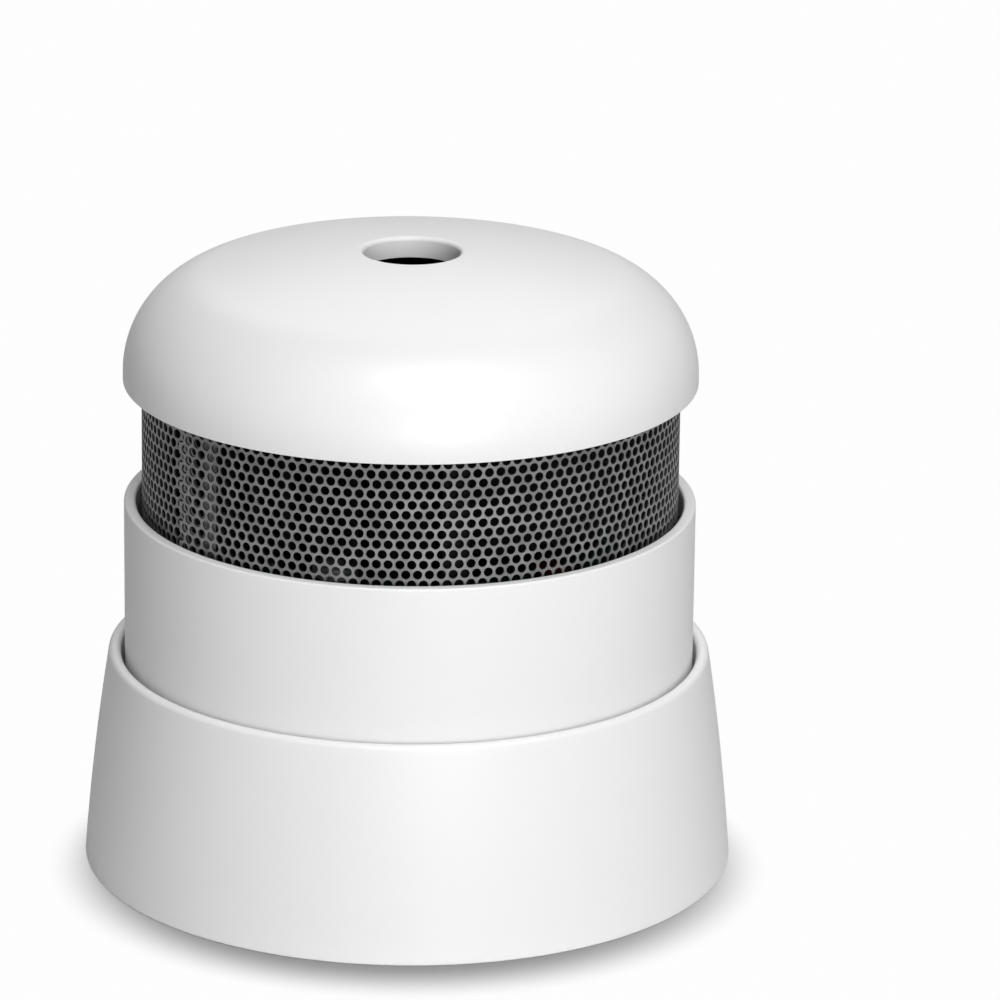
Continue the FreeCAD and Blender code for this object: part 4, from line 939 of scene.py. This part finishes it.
@dataclass
class MeshBand:
    """Perforated strip wrapped once round the alarm, its inner end tucked under its outer end.

    Attributes whose unit isn't metres: plain, jog, jog_lead, slip, stretch and pull are in columns
    of holes, end_turn in degrees, slant in radians, back_span and spiral_span (start and reach) in
    turns; edge_rise and thicker are shares.
    """

    sheet: float = 0.12 * MM
    columns: int = 146
    lap_columns: int = 4
    plain: float = 1.9
    rows: int = 15
    row_pitch: float = 0.62 * MM
    hole_radius: float = 0.285 * MM
    first_row: float = 22.27 * MM
    end_turn: float = 214.906
    ragged_parity: int = 0
    margin: float = 0.19 * MM
    lift: float = 0.23 * MM
    lift_top: float = 0.07 * MM
    lift_level: float = 29.5 * MM
    spiral: float = 0.11 * MM
    drop: float = 0.2 * MM
    jog: float = 1.5
    sag: float = 0.52 * MM
    sag_top: float = 30.26 * MM
    slip: float = -0.1
    stretch: float = 0.22
    thicker: float = 1.5
    slant: float = 0.012
    edge_rise: float = 0.45
    jog_lead: float = 1.4
    pull: tuple = (5, 10, 16)
    back_span: tuple = (0.5, 0.45)
    spiral_span: tuple = (0.86, 0.12)
    weld: float = 1e-4 * MM

    def pitch(self) -> float:
        """Distance between the holes of a row, on the middle of the sheet."""
        return 2 * math.pi * (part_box("insect_mesh")[1].x - self.sheet / 2) / self.columns

    def tile(self) -> np.ndarray:
        """One cell: twelve points round its brick-shaped edge, then twelve round its hole.

        Both rings run by 30 degrees from the right. The edge's corners are its points 2, 4, 8 and
        10, so in a neighbour row, shifted by half a cell, they meet the middles 3 and 9.
        """
        half, tall = self.pitch() / 2, self.row_pitch / 2
        rise = tall * self.edge_rise
        edge = [(half, 0), (half, rise), (half, tall), (0, tall), (-half, tall), (-half, rise)]
        angles = np.arange(CELL_POINTS) * math.pi / (CELL_POINTS / 2)
        return np.concatenate([edge, -np.array(edge), polar(self.hole_radius, angles)])

    def flat(self) -> Sheet:
        """The strip laid flat, one face thick.

        Rows of one parity are cut through their holes at both ends, the others have whole cells
        between. The outer end, at u = 0, keeps a margin past the centres of its cut holes. Past the
        lap's last holes the cells are filled, and a plain strip closes each long edge.

        Returns:
            The sheet, not welded yet.
        """
        tile, count, pitch = self.tile(), self.columns + self.lap_columns, self.pitch()
        length, levels = count * pitch, np.arange(self.rows) * self.row_pitch
        ragged = np.arange(self.rows) % 2 == self.ragged_parity
        whole = lattice((np.arange(count) + 0.5) * pitch, levels[~ragged])
        centres = np.concatenate([whole, lattice(np.arange(1, count) * pitch, levels[ragged])])
        sheet = Sheet()
        sheet.lay(centres, tile, ladder(CELL_POINTS, closed=True))
        sheet.fill(centres[centres[:, 0] > length - self.plain * pitch], tile[CELL_POINTS:])
        trimmed = tile.copy()
        trimmed[[4, 8], 0] = -self.margin
        right, left = np.array([8, 9, 10, 11, 0, 1, 2, 3, 4]), np.arange(3, 10)
        starts, ends = lattice([0.0], levels[ragged]), lattice([length], levels[ragged])
        sheet.lay(starts, trimmed[np.append(right, right + CELL_POINTS)], ladder(len(right)))
        sheet.lay(ends, tile[np.append(left, left + CELL_POINTS)], ladder(len(left)))
        sheet.fill(ends, tile[left + CELL_POINTS])
        border = np.concatenate([tile[[8, 7, 6, 5, 4]] + (pitch / 2, 0), trimmed[[4, 8]]])
        sheet.fill(lattice([0.0], levels[~ragged]), border)
        low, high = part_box("insect_mesh")
        across = np.append(-self.margin, np.arange(2 * count + 1) * pitch / 2)
        for near, far in ((low.z - self.first_row, -self.row_pitch / 2),
                          (levels[-1] + self.row_pitch / 2, high.z - self.first_row)):
            sheet.lay(np.zeros((1, 2)), lattice(across, (near, far)), ladder(len(across)))
        return sheet

    def wrap(self, flat: np.ndarray, inward: float) -> np.ndarray:
        """Bend the flat strip round the axis.

        The angle is end_turn + 360 u / turn degrees. The outer end stands out by lift, less near the
        cap, and lies down along the lap; the columns after it are pulled on by stretch. Towards the
        turn's end the radius shrinks by spiral, then by drop along the jog before the lap, past
        which the strip leans by slant. Over the back of the turn the strip climbs by sag, except
        above sag_top where the cap covers it, and gains slip columns, so the layers' holes don't
        line up. The far half is thicker, so that no light comes through it at a glancing angle.

        Args:
            flat: points (u, v).
            inward: distance below the outer face.

        Returns:
            Points (x, y, z).
        """
        pitch = self.pitch()
        turn = self.columns * pitch
        u, v = flat.T
        column, share, level = u / pitch, u / turn, v + self.first_row
        inner = ramp((u - turn) / (self.jog * pitch), -self.jog_lead, 1)
        outer = 1 - ramp(column, 0, self.lap_columns)
        grow, hold, fade = self.pull
        pulled = ramp(column, 0, grow) * (1 - ramp(column, hold, fade))
        back = ramp(share, *self.back_span)
        lift = self.lift + (self.lift_top - self.lift) * ramp(level, self.lift_level, MM)
        angle = math.radians(self.end_turn) + 2 * math.pi * u / turn
        angle = angle + 2 * math.pi * pitch / turn * (back * self.slip + pulled * self.stretch)
        angle = angle + inner * self.slant * (v / (self.rows * self.row_pitch) - 0.5)
        depth = inward * (1 + self.thicker * ramp(np.sin(angle), 0, 0.5))
        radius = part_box("insect_mesh")[1].x - depth + lift * outer
        radius = radius - self.spiral * ramp(share, *self.spiral_span) - self.drop * inner
        low, high, slack = -self.row_pitch / 2, (self.rows - 0.5) * self.row_pitch, pitch / 100
        inside = ((v > low - slack) & (v < high + slack)).astype(float)
        height = level + self.sag * back * inside * (1 - ramp(level, self.sag_top, MM))
        return np.column_stack([polar(radius, angle), height])

    def build(self) -> None:
        """Weld the flat cells, wrap both faces and close every open edge with a wall."""
        flat, blocks = self.flat().welded(self.weld)
        count = len(flat)
        pairs = [np.stack([block, np.roll(block, -1, axis=1)], axis=-1) for block in blocks]
        edges = np.concatenate([pair.reshape(-1, 2) for pair in pairs])
        lone = ~np.isin(edges[:, 1] * count + edges[:, 0], edges[:, 0] * count + edges[:, 1])
        start, end = edges[lone].T
        walls = np.stack([end, start, start + count, end + count], axis=1)
        faces = [face for block in blocks for face in block.tolist()]
        faces += [face for block in blocks for face in (block[:, ::-1] + count).tolist()]
        points = np.concatenate([self.wrap(flat, 0.0), self.wrap(flat, self.sheet)])
        piece = Surface(points, faces + walls.tolist()).to_object("mesh_band")
        fit(piece, "head", "mesh_steel", "insect_mesh")


@dataclass
class ChamberVanes:
    """Comb of slanted vanes under the chamber cover's rim, which lets smoke in but no light."""

    count: int = 40
    inner: float = 11.3 * MM
    outer: float = 14.3 * MM
    sweep: float = 14.0
    thickness: float = 0.45 * MM
    low: float = 23.6 * MM
    high: float = 30.0 * MM
    switch_gap: tuple = (14.0, 51.0)
    lead_gap: tuple = (90.0, 128.0)
    line_points: int = 7

    def outline(self) -> np.ndarray:
        """Plan of one vane, along the spiral r = inner + (outer - inner) t, angle = sweep t."""
        share = np.linspace(0, 1, self.line_points)
        radius = self.inner + (self.outer - self.inner) * share
        middle = polar(radius, math.radians(self.sweep) * share)
        along = np.gradient(middle, axis=0)
        length = np.linalg.norm(along, axis=1)[:, None]
        side = along[:, ::-1] * (1, -1) / length * self.thickness / 2
        return np.concatenate([middle + side, (middle - side)[::-1]])

    def build(self) -> None:
        """Set the vanes round the axis, none where the test switch and the sounder's leads pass."""
        turns = np.arange(self.count) * 360 / self.count
        for start, end in (self.switch_gap, self.lead_gap):
            turns = turns[(turns < start) | (turns > end)]
        vanes = spread(prism(self.outline(), self.low, self.high), turns)
        piece = vanes.to_object("chamber_vanes")
        fit(piece, "housing", "black_plastic")


# Studio

@dataclass(frozen=True)
class SoftBox:
    """A square area lamp that looks at the alarm from an azimuth (0 is +X) and an elevation."""

    name: str
    azimuth: float
    elevation: float
    distance: float
    side: float
    strength: float

    def place(self, target: Vector) -> None:
        """Add the lamp, turned towards the target.

        At strength 1 a white face at the target that looks at the lamp comes out white.
        """
        lamp = bpy.data.lights.new(self.name, "AREA")
        lamp.size = self.side
        lamp.energy = self.strength * (math.pi * self.distance) ** 2
        made = link(self.name, lamp)
        turn, lift = math.radians(self.azimuth), math.radians(self.elevation)
        flat = math.cos(lift)
        way = Vector((flat * math.cos(turn), flat * math.sin(turn), math.sin(lift)))
        made.location = target + way * self.distance
        made.rotation_euler = way.to_track_quat("Z", "Y").to_euler()


@dataclass(frozen=True)
class StudioFloor(Finish):
    """Pale floor that turns pure white for the camera away from the alarm; near it, a painted shadow
    deepens the lamps' real shadow.
    """

    colour: tuple = (0.65,) * 3
    # painted shadow: the darker floor colour that only the camera sees near the alarm
    painted_shadow: tuple = (0.28,) * 3
    white: tuple = (0.985,) * 3
    roughness: float = 0.9
    near: float = 16.9 * MM
    far: float = 22.6 * MM
    # the painted shadow's mask is centred this far in front of the axis, towards the camera
    forward: float = 3.0 * MM

    def draw(self, bench: Bench) -> None:
        """Distance from a point in front of the axis drives the mix from lit floor to even white.

        The camera sees the lit floor darker than the other rays do, as deep as the photo's shadow.
        """
        x, y = bench.axes()
        ahead = y + self.forward
        away = (x * x + ahead * ahead).power(0.5).smooth(self.near, self.far)
        seen = bench.node("ShaderNodeLightPath").out("Is Camera Ray")
        # painted shadow: for camera rays the floor near the alarm takes the darker colour, over the
        # lamps' real shadow
        colour = bench.blend(seen, self.colour, self.painted_shadow)
        matt = {"Base Color": colour, "Roughness": self.roughness, "Specular IOR Level": 0.0}
        lit = bench.node("ShaderNodeBsdfPrincipled", matt).out(0)
        even = bench.node("ShaderNodeEmission", {"Color": opaque(self.white)}).out(0)
        mixed = bench.node("ShaderNodeMixShader", {0: away * seen, 1: lit, 2: even})
        bench.node("ShaderNodeOutputMaterial", {"Surface": mixed.out(0)})


@dataclass
class Studio:
    """Camera at the photo's angle, white floor, soft boxes and a pale world."""

    elevation: float = 18.086
    distance: float = 401.235 * MM
    aim: float = 22.782 * MM
    lens: float = 234.0
    near_clip: float = 0.01
    roll: float = 0.44
    yaw: float = -0.793
    floor_side: float = 4.0
    world: float = 0.08
    sheen: float = 0.6
    boxes: tuple = (
        SoftBox("key", -62.0, 32.0, 0.5, 0.30, 0.124),
        SoftBox("low", -78.0, 4.0, 0.6, 0.30, 0.578),
        SoftBox("high", -75.0, 62.0, 0.6, 0.30, 0.645),
        SoftBox("back", 90.0, 45.0, 0.6, 0.40, 0.25),
    )

    def camera(self) -> None:
        """Look at a point on the alarm's axis, off centre in the picture as in the photo."""
        lens = bpy.data.cameras.new("camera")
        lens.lens = self.lens
        lens.clip_start = self.near_clip
        made = link("camera", lens)
        lift = math.radians(self.elevation)
        away = Vector((0, -math.cos(lift), math.sin(lift))) * self.distance
        made.location = away + Vector((0, 0, self.aim))
        look = Matrix.Rotation(math.pi / 2 - lift, 4, "X")
        roll = Matrix.Rotation(math.radians(self.roll), 4, "Z")
        yaw = Matrix.Rotation(math.radians(self.yaw), 4, "Y")
        made.rotation_euler = (look @ (roll @ yaw)).to_euler()
        bpy.context.scene.camera = made

    def surroundings(self) -> None:
        """White for the camera, pale in reflections, the chosen strength for every other ray."""
        world = bpy.data.worlds.new("world")
        bpy.context.scene.world = world
        world.use_nodes = True
        bench = Bench(world.node_tree)
        rays = bench.node("ShaderNodeLightPath")
        strength = rays.out("Is Camera Ray") * (1 - self.world) + self.world
        strength = strength + rays.out("Is Glossy Ray") * (self.sheen - self.world)
        white = {"Strength": strength, "Color": opaque((1.0,) * 3)}
        light = bench.node("ShaderNodeBackground", white)
        bench.node("ShaderNodeOutputWorld", {"Surface": light.out(0)})

    def build(self) -> None:
        """Set up the camera, the floor, the lamps and the world."""
        side = self.floor_side / 2
        corners = [(-side, -side, 0), (side, -side, 0), (side, side, 0), (-side, side, 0)]
        mesh = bpy.data.meshes.new("floor")
        mesh.from_pydata(corners, [], [[0, 1, 2, 3]])
        mesh.materials.append(StudioFloor("studio floor").material())
        floor = link("floor", mesh)
        target = Vector((0, 0, self.aim))
        for box in self.boxes:
            box.place(target)
        self.surroundings()
        self.camera()
        bpy.context.scene.view_settings.view_transform = "Standard"


def main() -> None:
    """Load the frame, build the pieces round it, dress the rest and set up the studio."""
    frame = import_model()
    for maker in (MountingBase(), HousingCup(), DomeCap(), MeshBand(), ChamberVanes()):
        maker.build()
    for name, node in frame["nodes"].items():
        dress(node, node.data.materials[0].name)
        LOG.info("%s: dressed", name)
    Studio().build()


if __name__ == "__main__":
    logging.basicConfig(level=logging.INFO, format="%(message)s")
    main()
